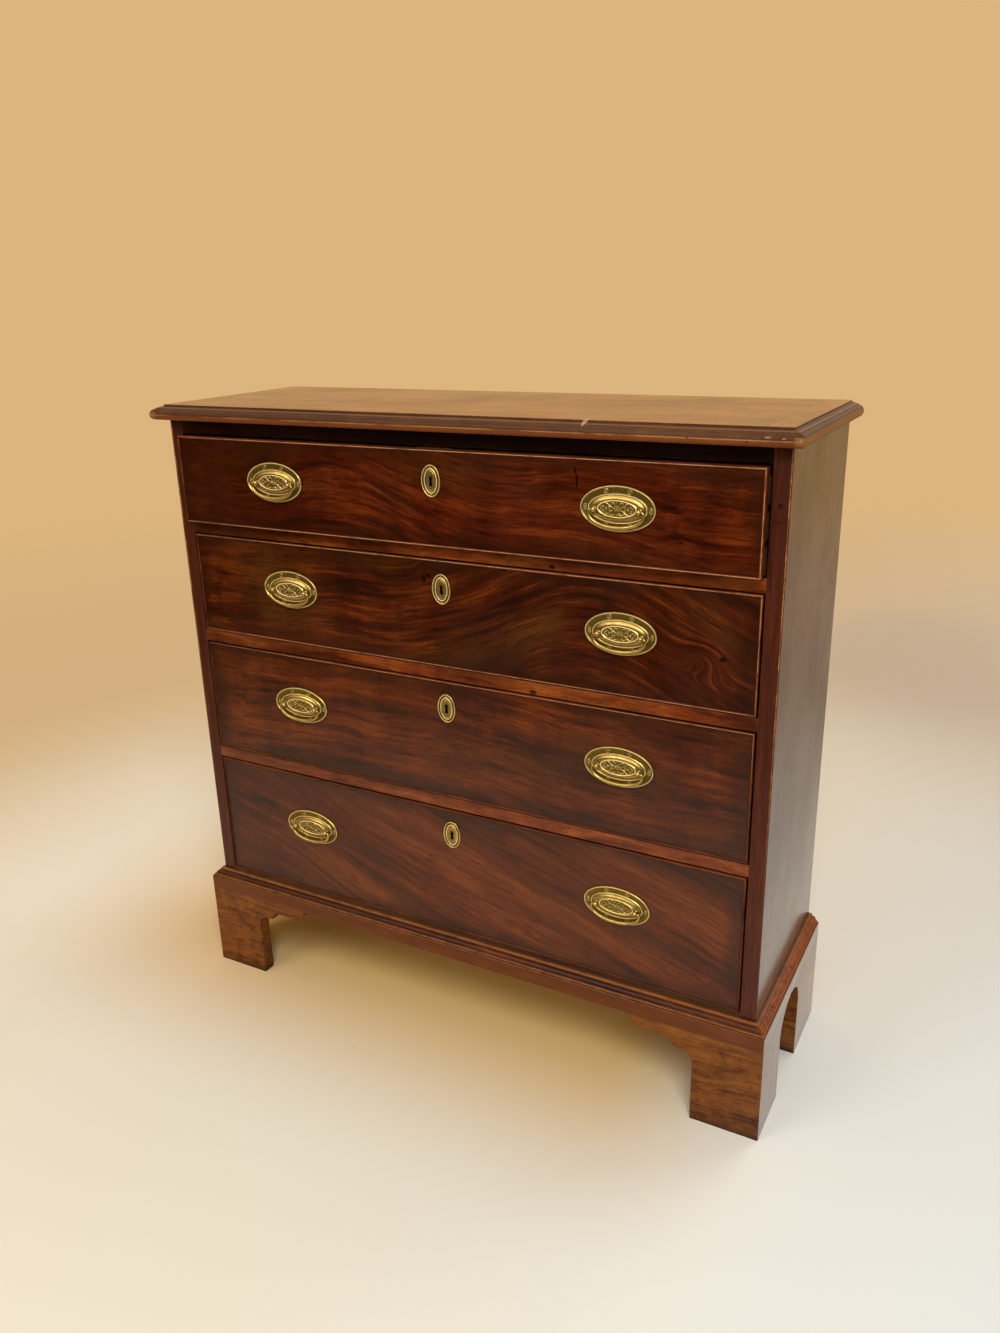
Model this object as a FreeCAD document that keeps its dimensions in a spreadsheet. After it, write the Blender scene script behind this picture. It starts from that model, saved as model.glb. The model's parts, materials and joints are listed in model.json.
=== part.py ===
import FreeCAD, Part
import math
import os
import Sketcher

# A slim mahogany bachelor's chest with four graduated drawers, in millimetres.
# The carcass is drawn with y = 0 on its front face and x = 0 on its middle; a drawer with y = 0 on its
# face and z = 0 on its lower edge. Placements then put each piece where it belongs in the chest. The
# origin of the chest lies on the floor under the middle of the whole, and the drawers open towards -Y.

Vector = FreeCAD.Vector
Rotation = FreeCAD.Rotation
RIGHT = Vector(1, 0, 0)
BACKWARDS = Vector(0, 1, 0)
UP = Vector(0, 0, 1)
POST_SIDES = 8  # flat sides on the handle posts
WIRE_SIDES = 6  # flat sides on the wire of the bails

# Driving dimensions
dimensions = {
    # carcass
    "carcass_width": 840,
    "carcass_depth": 268,
    "side_thickness": 20,
    "bottom_thickness": 18,
    "rail_thickness": 16,
    "rail_depth": 60,
    "top_rail_thickness": 18.5,
    "joint_depth": 8,  # how far the tenons of rails and bottom board enter the sides
    "joint_setback": 10,  # the tenons start this far behind the front, so the stiles run unbroken
    "back_thickness": 12,
    "back_lap": 10,  # width of the rebate that takes the back boards
    "runner_width": 20,
    "runner_housing": 3,
    "dustboard_thickness": 7,
    "dustboard_tongue": 5,
    # drawer openings, from the top down
    "opening_1": 119.5,
    "opening_2": 142,
    "opening_3": 166,
    "opening_4": 188,
    # top board
    "top_thickness": 19,
    "top_side_overhang": 15.5,
    "top_front_overhang": 21.5,
    "top_moulding_width": 14.5,
    "top_quirk_drop": 1.8,
    "top_slope_end": 6.9,  # from the nose inwards to the foot of the sloping band
    "top_slope_drop": 4.1,
    "top_nose_height": 14,
    "top_nose_start": 6.5,
    "top_nose_radius": 7.5,
    "top_nose_foot": 4,
    # base moulding and bracket feet
    "foot_height": 131,
    "moulding_height": 31,
    "moulding_projection": 15,
    "moulding_drop": 19,  # how far the moulding hangs below the carcass
    "moulding_ledge": 3.5,
    "moulding_bead_drop": 2,
    "moulding_ovolo": 8,
    "moulding_quirk": 1.2,
    "bracket_thickness": 19,
    "front_foot_width": 88,
    "front_knee_radius": 16,
    "front_cusp_run": 11,  # flat between the knee and the first cusp
    "front_step_radius": 11.5,
    "front_wing_run": 34.5,  # flat between the step and the round end of the wing
    "front_wing_radius": 14.5,
    "front_flat_rise": 1.5,  # both flats rise a little towards the middle of the chest
    "side_foot_width": 86,
    "rear_foot_width": 103,
    "side_wing_gap": 10,  # between the wings of the two side brackets
    "side_wing_skin": 2,
    "back_bracket_width": 90,
    "block_size": 34,
    "block_lift": 3,
    # drawers
    "drawer_side_gap": 2,
    "drawer_top_gap": 2,
    "drawer_bottom_gap": 1,
    "drawer_back_gap": 6,
    "drawer_1_ajar": 13,  # the top drawer stands a little open
    "running_gap": 0.3,
    "front_thickness": 20,
    "lining_thickness": 9,
    "lining_drop": 6,  # the linings stand this much below the top of the front
    "panel_thickness": 7,
    "panel_height": 9,
    "panel_groove": 4.5,
    "lap_thickness": 8,  # wood left in front of the lapped dovetails
    "pin_wide": 11,
    "pin_narrow": 7,
    "pin_pitch": 38,
    "bead_width": 3,
    "bead_depth": 5.5,
    "bead_projection": 2,
    "stop_width": 34,
    "stop_depth": 14,
    "stop_height": 5,
    "stop_offset": 200,
    # brasses
    "handle_offset": 237.5,
    "handle_1_rise": 5.25,  # plate centre above the middle of the drawer front
    "handle_2_rise": 6,
    "handle_3_rise": 9.5,
    "handle_4_rise": 12.5,
    "plate_length": 88.9,
    "plate_height": 51.5,
    "plate_thickness": 1.2,
    "plate_rim": 2.2,
    "plate_rim_rise": 1,
    "dome_length": 63,
    "dome_height": 33,
    "dome_rise": 1.9,
    "oval_length": 44,
    "oval_height": 19,
    "oval_rise": 1,
    "post_spacing": 52.8,
    "post_drop": 1.5,
    "post_head_radius": 3.1,
    "post_head_length": 5.6,
    "post_head_stand": 6.8,
    "post_tail": 1.5,  # shank left standing behind the nut
    "shank_radius": 2.2,
    "nut_width": 10,
    "nut_thickness": 3,
    "bail_radius": 1.8,
    "bail_drop": 18.5,
    "bail_arm": 2.4,  # straight length from the pin to the first bend
    "bail_corner_turn": 60,  # degrees that each corner of the bail turns through
    "bail_side_gap": 0.3,
    "bail_pin_radius": 1.1,
    "pin_clearance": 0.1,
    "fixing_clearance": 0.3,
    # locks and escutcheons
    "lock_drop": 37,  # key pin below the top edge of the drawer
    "lock_width": 46,
    "lock_height": 56,
    "lock_cover": 0.9,  # wood between the bead and the lock
    "lock_wall": 1.2,
    "bolt_width": 24,
    "bolt_thickness": 4,
    "bolt_length": 26,
    "bolt_travel": 8,
    "bolt_clearance": 0.3,
    "mortise_spare": 2,
    "escutcheon_width": 27,
    "escutcheon_height": 39.5,
    "escutcheon_thickness": 1.5,
    "keyhole_radius": 3.4,
    "keyhole_slot_width": 4.4,
    "keyhole_slot_length": 10,
    "key_pin_radius": 1.2,
}

doc = FreeCAD.newDocument("BachelorsChest")
sheet = doc.addObject("Spreadsheet::Sheet", "Sizes")


class Size:
    """A length that carries both its present value and the expression that gives it."""

    def __init__(self, value, text):
        self.value = value
        self.text = text

    def __add__(self, other):
        other = size(other)
        return Size(self.value + other.value, f"({self.text} + {other.text})")

    def __sub__(self, other):
        other = size(other)
        return Size(self.value - other.value, f"({self.text} - {other.text})")

    def __mul__(self, factor):
        factor = size(factor)
        return Size(self.value * factor.value, f"({self.text} * {factor.text})")

    def __truediv__(self, divisor):
        divisor = size(divisor)
        return Size(self.value / divisor.value, f"({self.text} / {divisor.text})")

    def __neg__(self):
        return Size(-self.value, f"(0 - {self.text})")

    def __radd__(self, other):
        return size(other) + self

    def __rsub__(self, other):
        return size(other) - self

    __rmul__ = __mul__


def size(number):
    return number if isinstance(number, Size) else Size(number, str(number))


def larger(a, b):
    return Size(max(a.value, b.value), f"max({a.text}; {b.text})")


def sine(angle):
    return Size(math.sin(math.radians(angle.value)), f"sin({angle.text})")


def cosine(angle):
    return Size(math.cos(math.radians(angle.value)), f"cos({angle.text})")


for row, (alias, number) in enumerate(dimensions.items(), start=1):
    sheet.set(f"A{row}", alias)
    sheet.set(f"B{row}", str(number))
    sheet.setAlias(f"B{row}", alias)
doc.recompute()


def dim(alias):
    return Size(sheet.get(alias), f"Sizes.{alias}")


# Drawing helpers
subparts = []


def unique(name):
    """Objects inside a sub-part carry its name and a number."""
    unique.count = getattr(unique, "count", 0) + 1
    return f"{name}_{unique.count}"


def bind(feature, **values):
    for name, value in values.items():
        feature.setExpression(name, size(value).text)
    return feature


def place(feature, x=0, y=0, z=0):
    for axis, value in zip("xyz", (x, y, z)):
        feature.setExpression(f"Placement.Base.{axis}", size(value).text)
    return feature


def box(name, x, y, z):
    """A block between pairs of sizes along each axis."""
    block = doc.addObject("Part::Box", unique(name))
    bind(block, Length=size(x[1]) - x[0], Width=size(y[1]) - y[0], Height=size(z[1]) - z[0])
    return place(block, x[0], y[0], z[0])


def rod(name, radius, start, length, axis):
    """A round bar that starts at a point and runs along an axis."""
    bar = doc.addObject("Part::Cylinder", unique(name))
    bind(bar, Radius=radius, Height=length)
    bar.Placement.Rotation = Rotation(UP, axis)
    return place(bar, *start)


def faceted_rod(name, sides, radius, start, length, axis):
    """A bar with flat sides that starts at a point and runs along an axis."""
    bar = doc.addObject("Part::Prism", unique(name))
    bar.Polygon = sides
    bind(bar, Circumradius=radius, Height=length)
    bar.Placement.Rotation = Rotation(UP, axis)
    return place(bar, *start)


def ellipse(name, length, height, y):
    """An upright oval seen from the front, at a depth y."""
    oval = doc.addObject("Part::Ellipse", unique(name))
    bind(oval, MajorRadius=size(length) / 2, MinorRadius=size(height) / 2)
    oval.Placement.Rotation = Rotation(RIGHT, 90)
    return place(oval, y=y)


def oval_plate(name, length, height, front, back):
    """A flat oval plate; when it is taller than wide its long axis is turned upright."""
    tall = size(height).value > size(length).value
    long_side, short_side = (height, length) if tall else (length, height)
    oval = ellipse(name, long_side, short_side, front)
    if tall:
        oval.Placement.Rotation = Rotation(BACKWARDS, 90) * Rotation(RIGHT, 90)
    plate = doc.addObject("Part::Extrusion", unique(name))
    plate.Base = oval
    plate.DirMode = "Custom"
    plate.Dir = BACKWARDS
    plate.Solid = True
    return bind(plate, LengthFwd=size(back) - front)


def loft(name, sections):
    skin = doc.addObject("Part::Loft", unique(name))
    skin.Sections = sections
    skin.Solid = True
    skin.Ruled = True
    return skin


def fuse(name, *shapes):
    joined = doc.addObject("Part::MultiFuse", unique(name))
    joined.Shapes = list(shapes)
    return joined


def group(name, *shapes):
    """Separate solids kept side by side in one sub-part."""
    kept = doc.addObject("Part::Compound", unique(name))
    kept.Links = list(shapes)
    return kept


def cut(name, base, *tools):
    result = doc.addObject("Part::Cut", unique(name))
    result.Base = base
    result.Tool = tools[0] if len(tools) == 1 else fuse(name, *tools)
    return result


def common(name, first, second):
    result = doc.addObject("Part::Common", unique(name))
    result.Base = first
    result.Tool = second
    return result


def mirrored(name, source):
    """The same piece for the other side of the chest."""
    twin = doc.addObject("Part::Mirroring", unique(name))
    twin.Source = source
    twin.Normal = RIGHT
    return twin


def origin_plane(body, role):
    return next(feature for feature in body.Origin.OriginFeatures if feature.Role == role)


class Arc:
    """The next corner is reached round an arc of this radius, bulging left or right of the way there."""

    def __init__(self, radius, left):
        self.radius = size(radius)
        self.left = left


def arc_middle(start, end, arc):
    """The middle point of an arc of less than half a turn."""
    chord = end - start
    half = chord.Length / 2
    rise = arc.radius.value - (arc.radius.value**2 - half**2) ** 0.5
    side = Vector(-chord.y, chord.x, 0) if arc.left else Vector(chord.y, -chord.x, 0)
    return start + chord * 0.5 + side.normalize() * rise


def outline(body, name, plane, path):
    """A closed sketch whose corners, and the radii between them, are bound to the sheet."""
    sketch = body.newObject("Sketcher::SketchObject", unique(name))
    sketch.AttachmentSupport = [(origin_plane(body, plane), "")]
    sketch.MapMode = "FlatFace"
    corners, arcs = [], {}
    for step in path:
        if isinstance(step, Arc):
            arcs[len(corners) - 1] = step
        else:
            corners.append(step)
    points = [Vector(size(u).value, size(v).value, 0) for u, v in corners]
    for i, start in enumerate(points):
        end = points[(i + 1) % len(points)]
        if i in arcs:
            sketch.addGeometry(Part.Arc(start, arc_middle(start, end, arcs[i]), end))
        else:
            sketch.addGeometry(Part.LineSegment(start, end))
    for i, (u, v) in enumerate(corners):
        previous = (i - 1) % len(corners)
        end = vertex(sketch, previous, points[i])
        start = vertex(sketch, i, points[i])
        sketch.addConstraint(Sketcher.Constraint("Coincident", previous, end, i, start))
        for kind, letter, value in (("DistanceX", "u", size(u)), ("DistanceY", "v", size(v))):
            index = sketch.addConstraint(Sketcher.Constraint(kind, -1, 1, i, start, value.value))
            sketch.renameConstraint(index, f"{letter}{i}")
            sketch.setExpression(f"Constraints.{letter}{i}", value.text)
        if i in arcs:
            index = sketch.addConstraint(Sketcher.Constraint("Radius", i, arcs[i].radius.value))
            sketch.renameConstraint(index, f"r{i}")
            sketch.setExpression(f"Constraints.r{i}", arcs[i].radius.text)
    return sketch


def vertex(sketch, edge, point):
    """1 or 2: which end of a sketch edge lies on a point (an arc may be stored the other way round)."""
    return 1 if (sketch.getPoint(edge, 1) - point).Length < 1e-6 else 2


def padded_body(name, plane, path, length, reverse=False, midplane=False):
    """A body made by drawing one outline and thickening it."""
    body = doc.addObject("PartDesign::Body", unique(name))
    profile = outline(body, name, plane, path)
    pad = body.newObject("PartDesign::Pad", unique(name))
    pad.Profile = profile
    pad.Reversed = reverse
    pad.Midplane = midplane
    bind(pad, Length=length)
    return body


def subpart(label, feature, x=0, y=0, z=0):
    """Names a finished piece and moves it from its own frame to its place in the chest."""
    feature.Label = label
    place(feature, x, y, z)
    subparts.append(feature)


# Sizes worked out from the sheet
half_width = dim("carcass_width") / 2
depth = dim("carcass_depth")
opening_half = half_width - dim("side_thickness")
carcass_bottom = dim("foot_height") + dim("moulding_drop")
floor_of_opening = {4: carcass_bottom + dim("bottom_thickness")}
for n in (3, 2, 1):
    floor_of_opening[n] = floor_of_opening[n + 1] + dim(f"opening_{n + 1}") + dim("rail_thickness")
ceiling_of_opening = {n: floor_of_opening[n] + dim(f"opening_{n}") for n in (1, 2, 3, 4)}
carcass_top = ceiling_of_opening[1] + dim("top_rail_thickness")
back_inside = depth - dim("back_thickness")

handle_reach = dim("post_head_stand") + dim("post_head_radius") + dim("drawer_1_ajar")
front_reach = larger(handle_reach, dim("top_front_overhang"))
front_y = (front_reach - depth) / 2  # the carcass front face in the chest's own frame

drawer_half = opening_half - dim("drawer_side_gap")
drawer_length = back_inside - dim("drawer_back_gap")
drawer_gaps = dim("drawer_top_gap") + dim("drawer_bottom_gap")
drawer_height = {n: dim(f"opening_{n}") - drawer_gaps for n in (1, 2, 3, 4)}
lining_inner = drawer_half - dim("lining_thickness")
lining_low = dim("running_gap") - dim("drawer_bottom_gap")
panel_top = dim("panel_height") + dim("panel_thickness")
handle_level = {n: drawer_height[n] / 2 + dim(f"handle_{n}_rise") for n in (1, 2, 3, 4)}
post_level = {n: handle_level[n] - dim("post_drop") for n in (1, 2, 3, 4)}
lock_level = {n: drawer_height[n] - dim("lock_drop") for n in (1, 2, 3, 4)}
lock_front = dim("bead_depth") + dim("lock_cover")
bolt_front = lock_front + dim("lock_wall") + dim("bolt_clearance")
bolt_back = bolt_front + dim("bolt_thickness")
dome_front = -dim("plate_thickness") - dim("dome_rise")


# Carcass
def nose_profile(sign, edge):
    """The worked edge of the top: quirk, sloping band, small step and nose, down to the underside."""
    thickness = dim("top_thickness")

    def at(inset, height):
        return (sign * (edge - inset), carcass_top + height)

    return [
        at(dim("top_moulding_width"), thickness),
        at(dim("top_moulding_width"), thickness - dim("top_quirk_drop")),
        at(dim("top_slope_end"), thickness - dim("top_slope_drop")),
        at(dim("top_nose_start"), dim("top_nose_height")),
        Arc(dim("top_nose_radius"), left=True),
        at(dim("top_nose_foot"), 0),
    ]


def make_top():
    """One board: the end-to-end section and the front-to-back section cross, and mitre the moulding."""
    side_edge = half_width + dim("top_side_overhang")
    front_edge = dim("top_front_overhang")
    surface = carcass_top + dim("top_thickness")
    ends = nose_profile(1, side_edge) + nose_profile(-1, side_edge)[::-1]
    front = nose_profile(-1, front_edge)[::-1] + [(depth, surface), (depth, carcass_top)]
    across = padded_body("top", "XZ_Plane", ends, (depth + front_edge) * 2, midplane=True)
    along = padded_body("top", "YZ_Plane", front, side_edge * 2, midplane=True)
    subpart("top", common("top", across, along), y=front_y)


def rail_levels(n):
    """Lower and upper face of the rail over drawer n."""
    low = ceiling_of_opening[n]
    return low, low + dim("top_rail_thickness" if n == 1 else "rail_thickness")


def make_side(label, mirror):
    """A side board with its back rebate, and the housings for rails, runners and the bottom board."""
    name = label
    inner = opening_half
    board = box(name, (inner, half_width), (0, depth), (carcass_bottom, carcass_top))
    deep = (inner, inner + dim("joint_depth"))
    shallow = (inner, inner + dim("runner_housing"))
    socket_run = (dim("joint_setback"), dim("rail_depth"))
    runner_run = (dim("rail_depth"), back_inside)
    tools = [
        box(name, (inner, inner + dim("back_lap")), (back_inside, depth), (carcass_bottom, carcass_top)),
        box(name, deep, (dim("joint_setback"), back_inside), (carcass_bottom, floor_of_opening[4])),
    ]
    for n in (1, 2, 3, 4):
        tools.append(box(name, deep, socket_run, rail_levels(n)))
        if n > 1:
            tools.append(box(name, shallow, runner_run, rail_levels(n)))
    side = cut(name, board, *tools)
    subpart(label, mirrored(name, side) if mirror else side, y=front_y)


def tenoned_board(name, front_to_back, levels):
    """A board between the sides that widens into tenons a little behind its front edge."""
    start, end = front_to_back
    reach = opening_half + dim("joint_depth")
    shown = box(name, (-opening_half, opening_half), (start, end), levels)
    tenons = box(name, (-reach, reach), (start + dim("joint_setback"), end), levels)
    return fuse(name, shown, tenons)


def bolt_mortise(name, n):
    """The hole in the rail over drawer n that its lock bolt enters."""
    gap = dim("bolt_clearance")
    across = dim("bolt_width") / 2 + gap
    low = ceiling_of_opening[n]
    high = low + dim("bolt_travel") + dim("mortise_spare")
    return box(name, (-across, across), (bolt_front - gap, bolt_back + gap), (low, high))


def make_rails():
    """The top rail and the three blades between the drawers."""
    rails = []
    for n in (1, 2, 3, 4):
        rail = tenoned_board("rail", (size(0), dim("rail_depth")), rail_levels(n))
        tools = [bolt_mortise("rail", n)]
        if n > 1:
            tools.append(dustboard("rail", n - 1))
        rails.append(cut("rail", rail, *tools))
    subpart("drawer_rails", group("rails", *rails), y=front_y)


def dustboard(name, n):
    """The thin board under drawer n, tongued into its rail and runners."""
    across = opening_half - dim("runner_width") + dim("dustboard_tongue")
    start = dim("rail_depth") - dim("dustboard_tongue")
    middle = floor_of_opening[n] - dim("rail_thickness") / 2
    half = dim("dustboard_thickness") / 2
    return box(name, (-across, across), (start, back_inside), (middle - half, middle + half))


def make_dustboards():
    subpart("dustboards", group("dustboards", *[dustboard("dustboard", n) for n in (1, 2, 3)]), y=front_y)


def make_runners():
    """Runners under drawers 1 to 3 and, under the top, the kickers that stop drawer 1 tipping."""
    inner = opening_half - dim("runner_width")
    housed = (inner, opening_half + dim("runner_housing"))
    run = (dim("rail_depth"), back_inside)
    strips = []
    for n in (1, 2, 3):
        strips.append(cut("runner", box("runner", housed, run, rail_levels(n + 1)), dustboard("runner", n)))
    strips.append(box("kicker", (inner, opening_half), run, rail_levels(1)))
    pairs = strips + [mirrored("runner", strip) for strip in strips]
    subpart("drawer_runners", group("runners", *pairs), y=front_y)


def make_stops():
    """Small blocks glued to the rails, which the closed drawer fronts meet."""
    start = dim("front_thickness") + dim("running_gap")
    left = dim("stop_offset") - dim("stop_width") / 2
    across = (left, left + dim("stop_width"))
    blocks = []
    for n in (1, 2, 3, 4):
        low = floor_of_opening[n]
        block = box("stop", across, (start, start + dim("stop_depth")), (low, low + dim("stop_height")))
        blocks += [block, mirrored("stop", block)]
    subpart("drawer_stops", group("stops", *blocks), y=front_y)


def make_back():
    """Three boards across the back, let into the rebates of the sides."""
    reach = opening_half + dim("back_lap")
    height = (carcass_top - carcass_bottom) / 3
    boards = []
    for row in range(3):
        low = carcass_bottom + height * row
        boards.append(box("back", (-reach, reach), (back_inside, depth), (low, low + height)))
    subpart("back_boards", group("back", *boards), y=front_y)


def make_bottom():
    board = tenoned_board("bottom", (size(0), back_inside), (carcass_bottom, floor_of_opening[4]))
    subpart("bottom_board", board, y=front_y)


# Base moulding and feet
def moulding_profile(sign, face):
    """The section of the base moulding against the carcass face: ledge, ovolo, quirk and flat fascia."""
    base = dim("foot_height")
    ledge = dim("moulding_ledge")
    ovolo = dim("moulding_ovolo")
    height = dim("moulding_height")
    ovolo_top = height - dim("moulding_bead_drop")

    def at(out, up):
        return (sign * (face + out), base + up)

    return [
        at(0, 0),
        at(0, height),
        at(ledge, height),
        at(ledge, ovolo_top),
        Arc(ovolo, left=sign > 0),
        at(ledge + ovolo, ovolo_top - ovolo),
        at(ledge + ovolo, ovolo_top - ovolo - dim("moulding_quirk")),
        at(dim("moulding_projection"), ovolo_top - ovolo - dim("moulding_quirk")),
        at(dim("moulding_projection"), 0),
    ]


def mitre_wedge(name, height):
    """Everything in front of the 45 degree lines that run out from the front corners of the carcass."""
    reach = dim("moulding_projection") + dim("bracket_thickness")
    outline_in_plan = [
        (half_width - reach, reach),
        (half_width + reach, -reach),
        (-half_width - reach, -reach),
        (reach - half_width, reach),
    ]
    return padded_body(name, "XY_Plane", outline_in_plan, height)


def make_base_moulding():
    """Front length and two returns, mitred at the front corners."""
    name = "moulding"
    wedge = mitre_wedge(name, dim("foot_height") + dim("moulding_height"))
    full = (half_width + dim("moulding_projection")) * 2
    front = padded_body(name, "YZ_Plane", moulding_profile(-1, size(0)), full, midplane=True)
    front = common(name, front, wedge)
    run = padded_body(name, "XZ_Plane", moulding_profile(1, half_width), depth * 2, midplane=True)
    beside = box(name, (half_width, half_width * 2), (-dim("moulding_projection"), depth), (0, carcass_top))
    side = cut(name, common(name, run, beside), wedge)
    subpart("base_moulding", group(name, front, side, mirrored(name, side)), y=front_y)


def front_bracket_path():
    """The front foot on the right: upright leg, round knee, cusp, step and a wing with a round end."""
    corner = half_width + dim("moulding_projection")
    top = dim("foot_height")
    knee = dim("front_knee_radius")
    step = dim("front_step_radius")
    wing = dim("front_wing_radius")
    leg = dim("front_foot_width")
    cusp = leg + knee + dim("front_cusp_run")
    wing_start = cusp + step + dim("front_wing_run")
    wing_low = top - wing
    step_high = wing_low - dim("front_flat_rise")
    cusp_low = step_high - step
    knee_high = cusp_low - dim("front_flat_rise")
    return [
        (corner, 0),
        (corner, top),
        (corner - wing_start - wing, top),
        Arc(wing, left=False),
        (corner - wing_start, wing_low),
        (corner - cusp - step, step_high),
        Arc(step, left=True),
        (corner - cusp, cusp_low),
        (corner - leg - knee, knee_high),
        Arc(knee, left=True),
        (corner - leg, knee_high - knee),
        (corner - leg, 0),
    ]


def side_bracket_path(start, sign, width):
    """A side bracket: upright leg and one quarter-round wing."""
    top = dim("foot_height")
    legs = dim("side_foot_width") + dim("rear_foot_width")
    wing = (depth + dim("moulding_projection") - legs - dim("side_wing_gap")) / 2
    wing_high = top - dim("side_wing_skin")
    return [
        (start, 0),
        (start + sign * width, 0),
        (start + sign * width, wing_high - wing),
        Arc(wing, left=sign > 0),
        (start + sign * (width + wing), wing_high),
        (start + sign * (width + wing), top),
        (start, top),
    ]


def make_feet():
    """Mitred front and side brackets, rear side brackets and plain rear brackets."""
    name = "foot"
    proud = dim("moulding_projection")
    thick = dim("bracket_thickness")
    inner = half_width + proud - thick
    wedge = mitre_wedge(name, dim("foot_height"))
    front = padded_body(name, "XZ_Plane", front_bracket_path(), thick, reverse=True)
    front_side = padded_body(name, "YZ_Plane", side_bracket_path(-proud, 1, dim("side_foot_width")), thick)
    rear_side = padded_body(name, "YZ_Plane", side_bracket_path(depth, -1, dim("rear_foot_width")), thick)
    brackets = [
        common(name, place(front, y=-proud), wedge),
        cut(name, place(front_side, x=inner), wedge),
        place(rear_side, x=inner),
        box(name, (inner - dim("back_bracket_width"), inner), (depth - thick, depth), (0, carcass_bottom)),
    ]
    pairs = brackets + [mirrored(name, bracket) for bracket in brackets]
    subpart("bracket_feet", group(name, *pairs), y=front_y)


def make_blocks():
    """A glue block in the corner behind each foot, from just above the floor to the carcass."""
    inset = dim("bracket_thickness") - dim("moulding_projection")
    outer = half_width - inset
    block = dim("block_size")
    front = (inset, inset + block)
    rear = (depth - dim("bracket_thickness") - block, depth - dim("bracket_thickness"))
    levels = (dim("block_lift"), carcass_bottom)
    blocks = [box("block", (outer - block, outer), along, levels) for along in (front, rear)]
    pairs = blocks + [mirrored("block", block) for block in blocks]
    subpart("foot_blocks", group("blocks", *pairs), y=front_y)


# Drawers
def dovetail_pins(name, wide_y, narrow_y, low, high):
    """The pins of one corner, as thick as the side: half pins at both ends and whole ones between."""
    across = {"Xmin": lining_inner, "Xmax": drawer_half, "X2min": lining_inner, "X2max": drawer_half}
    wide_first = wide_y.value < narrow_y.value
    start, end = (wide_y, narrow_y) if wide_first else (narrow_y, wide_y)
    count = max(2, round((high.value - low.value) / dim("pin_pitch").value))
    pitch = (high - low) / count
    pins = []
    for k in range(count + 1):
        middle = low + pitch * k
        wide, narrow = (
            (middle if k == 0 else middle - half, middle if k == count else middle + half)
            for half in (dim("pin_wide") / 2, dim("pin_narrow") / 2)
        )
        first, second = (wide, narrow) if wide_first else (narrow, wide)
        pin = doc.addObject("Part::Wedge", unique(name))
        bind(pin, Ymin=0, Ymax=end - start, **across)
        bind(pin, Zmin=first[0], Zmax=first[1], Z2min=second[0], Z2max=second[1])
        pins.append(place(pin, y=start))
    return pins


def lining_top(n):
    return drawer_height[n] - dim("lining_drop")


def front_pins(name, n):
    return dovetail_pins(name, dim("front_thickness"), dim("lap_thickness"), lining_low, lining_top(n))


def back_pins(name, n):
    inner_face = drawer_length - dim("lining_thickness")
    return dovetail_pins(name, inner_face, drawer_length, panel_top, lining_top(n))


def lock_box(name, n, gap):
    """The space that the lock fills in the back of drawer front n, open at the top edge."""
    half = dim("lock_width") / 2 + gap
    low = drawer_height[n] - dim("lock_height") - gap
    return box(name, (-half, half), (lock_front, dim("front_thickness")), (low, drawer_height[n]))


def keyhole(name, n, front, back):
    """A round hole with a slot below it, right through."""
    half = dim("keyhole_slot_width") / 2
    level = lock_level[n]
    round_part = rod(name, dim("keyhole_radius"), (0, front, level), back - front, BACKWARDS)
    slot = box(name, (-half, half), (front, back), (level - dim("keyhole_slot_length"), level))
    return fuse(name, round_part, slot)


def post_places():
    """How far right of the middle each of a drawer's four posts stands."""
    half = dim("post_spacing") / 2
    return [dim("handle_offset") * handle + half * post for handle in (-1, 1) for post in (-1, 1)]


def panel_groove(name, half, front_to_back):
    reach = half + dim("panel_groove")
    return box(name, (-reach, reach), front_to_back, (dim("panel_height"), panel_top))


def make_front(n):
    """The front: rebated for its beads, socketed for the sides, grooved, and bored for lock and brasses."""
    name = f"front_{n}"
    half = drawer_half
    height = drawer_height[n]
    bead = dim("bead_width")
    thick = dim("front_thickness")
    rebate = (0, dim("bead_depth"))
    field = box(name, (bead - half, half - bead), rebate, (bead, height - bead))
    corner = box(name, (lining_inner, half), (dim("lap_thickness"), thick), (0, lining_top(n)))
    tools = [
        cut(name, box(name, (-half, half), rebate, (0, height)), field),
        corner,
        mirrored(name, corner),
        panel_groove(name, lining_inner, (thick - dim("panel_groove"), thick)),
        lock_box(name, n, dim("fixing_clearance")),
        keyhole(name, n, size(0), thick),
    ]
    for x in post_places():
        radius = dim("shank_radius") + dim("fixing_clearance")
        tools.append(rod(name, radius, (x, 0, post_level[n]), thick, BACKWARDS))
    blank = box(name, (-half, half), (0, thick), (0, height))
    pins = common(name, fuse(name, *front_pins(name, n)), blank)
    drawer_subpart(f"drawer_{n}_front", fuse(name, cut(name, blank, *tools), pins, mirrored(name, pins)), n)


def make_linings(n):
    """The two sides, the back and the bottom panel of a drawer."""
    name = f"lining_{n}"
    inner = lining_inner
    side_top = lining_top(n)
    panel_run = (dim("front_thickness") - dim("panel_groove"), drawer_length)
    side = box(name, (inner, drawer_half), (dim("lap_thickness"), drawer_length), (lining_low, side_top))
    groove = panel_groove(name, inner, panel_run)
    side = cut(name, side, groove, *front_pins(name, n), *back_pins(name, n))
    drawer_subpart(f"drawer_{n}_sides", group(name, side, mirrored(name, side)), n)
    back_run = (drawer_length - dim("lining_thickness"), drawer_length)
    board = box(name, (-inner, inner), back_run, (panel_top, side_top))
    pins = fuse(name, *back_pins(name, n))
    drawer_subpart(f"drawer_{n}_back", fuse(name, board, pins, mirrored(name, pins)), n)
    drawer_subpart(f"drawer_{n}_bottom", group(name, panel_groove(name, inner, panel_run)), n)


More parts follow.
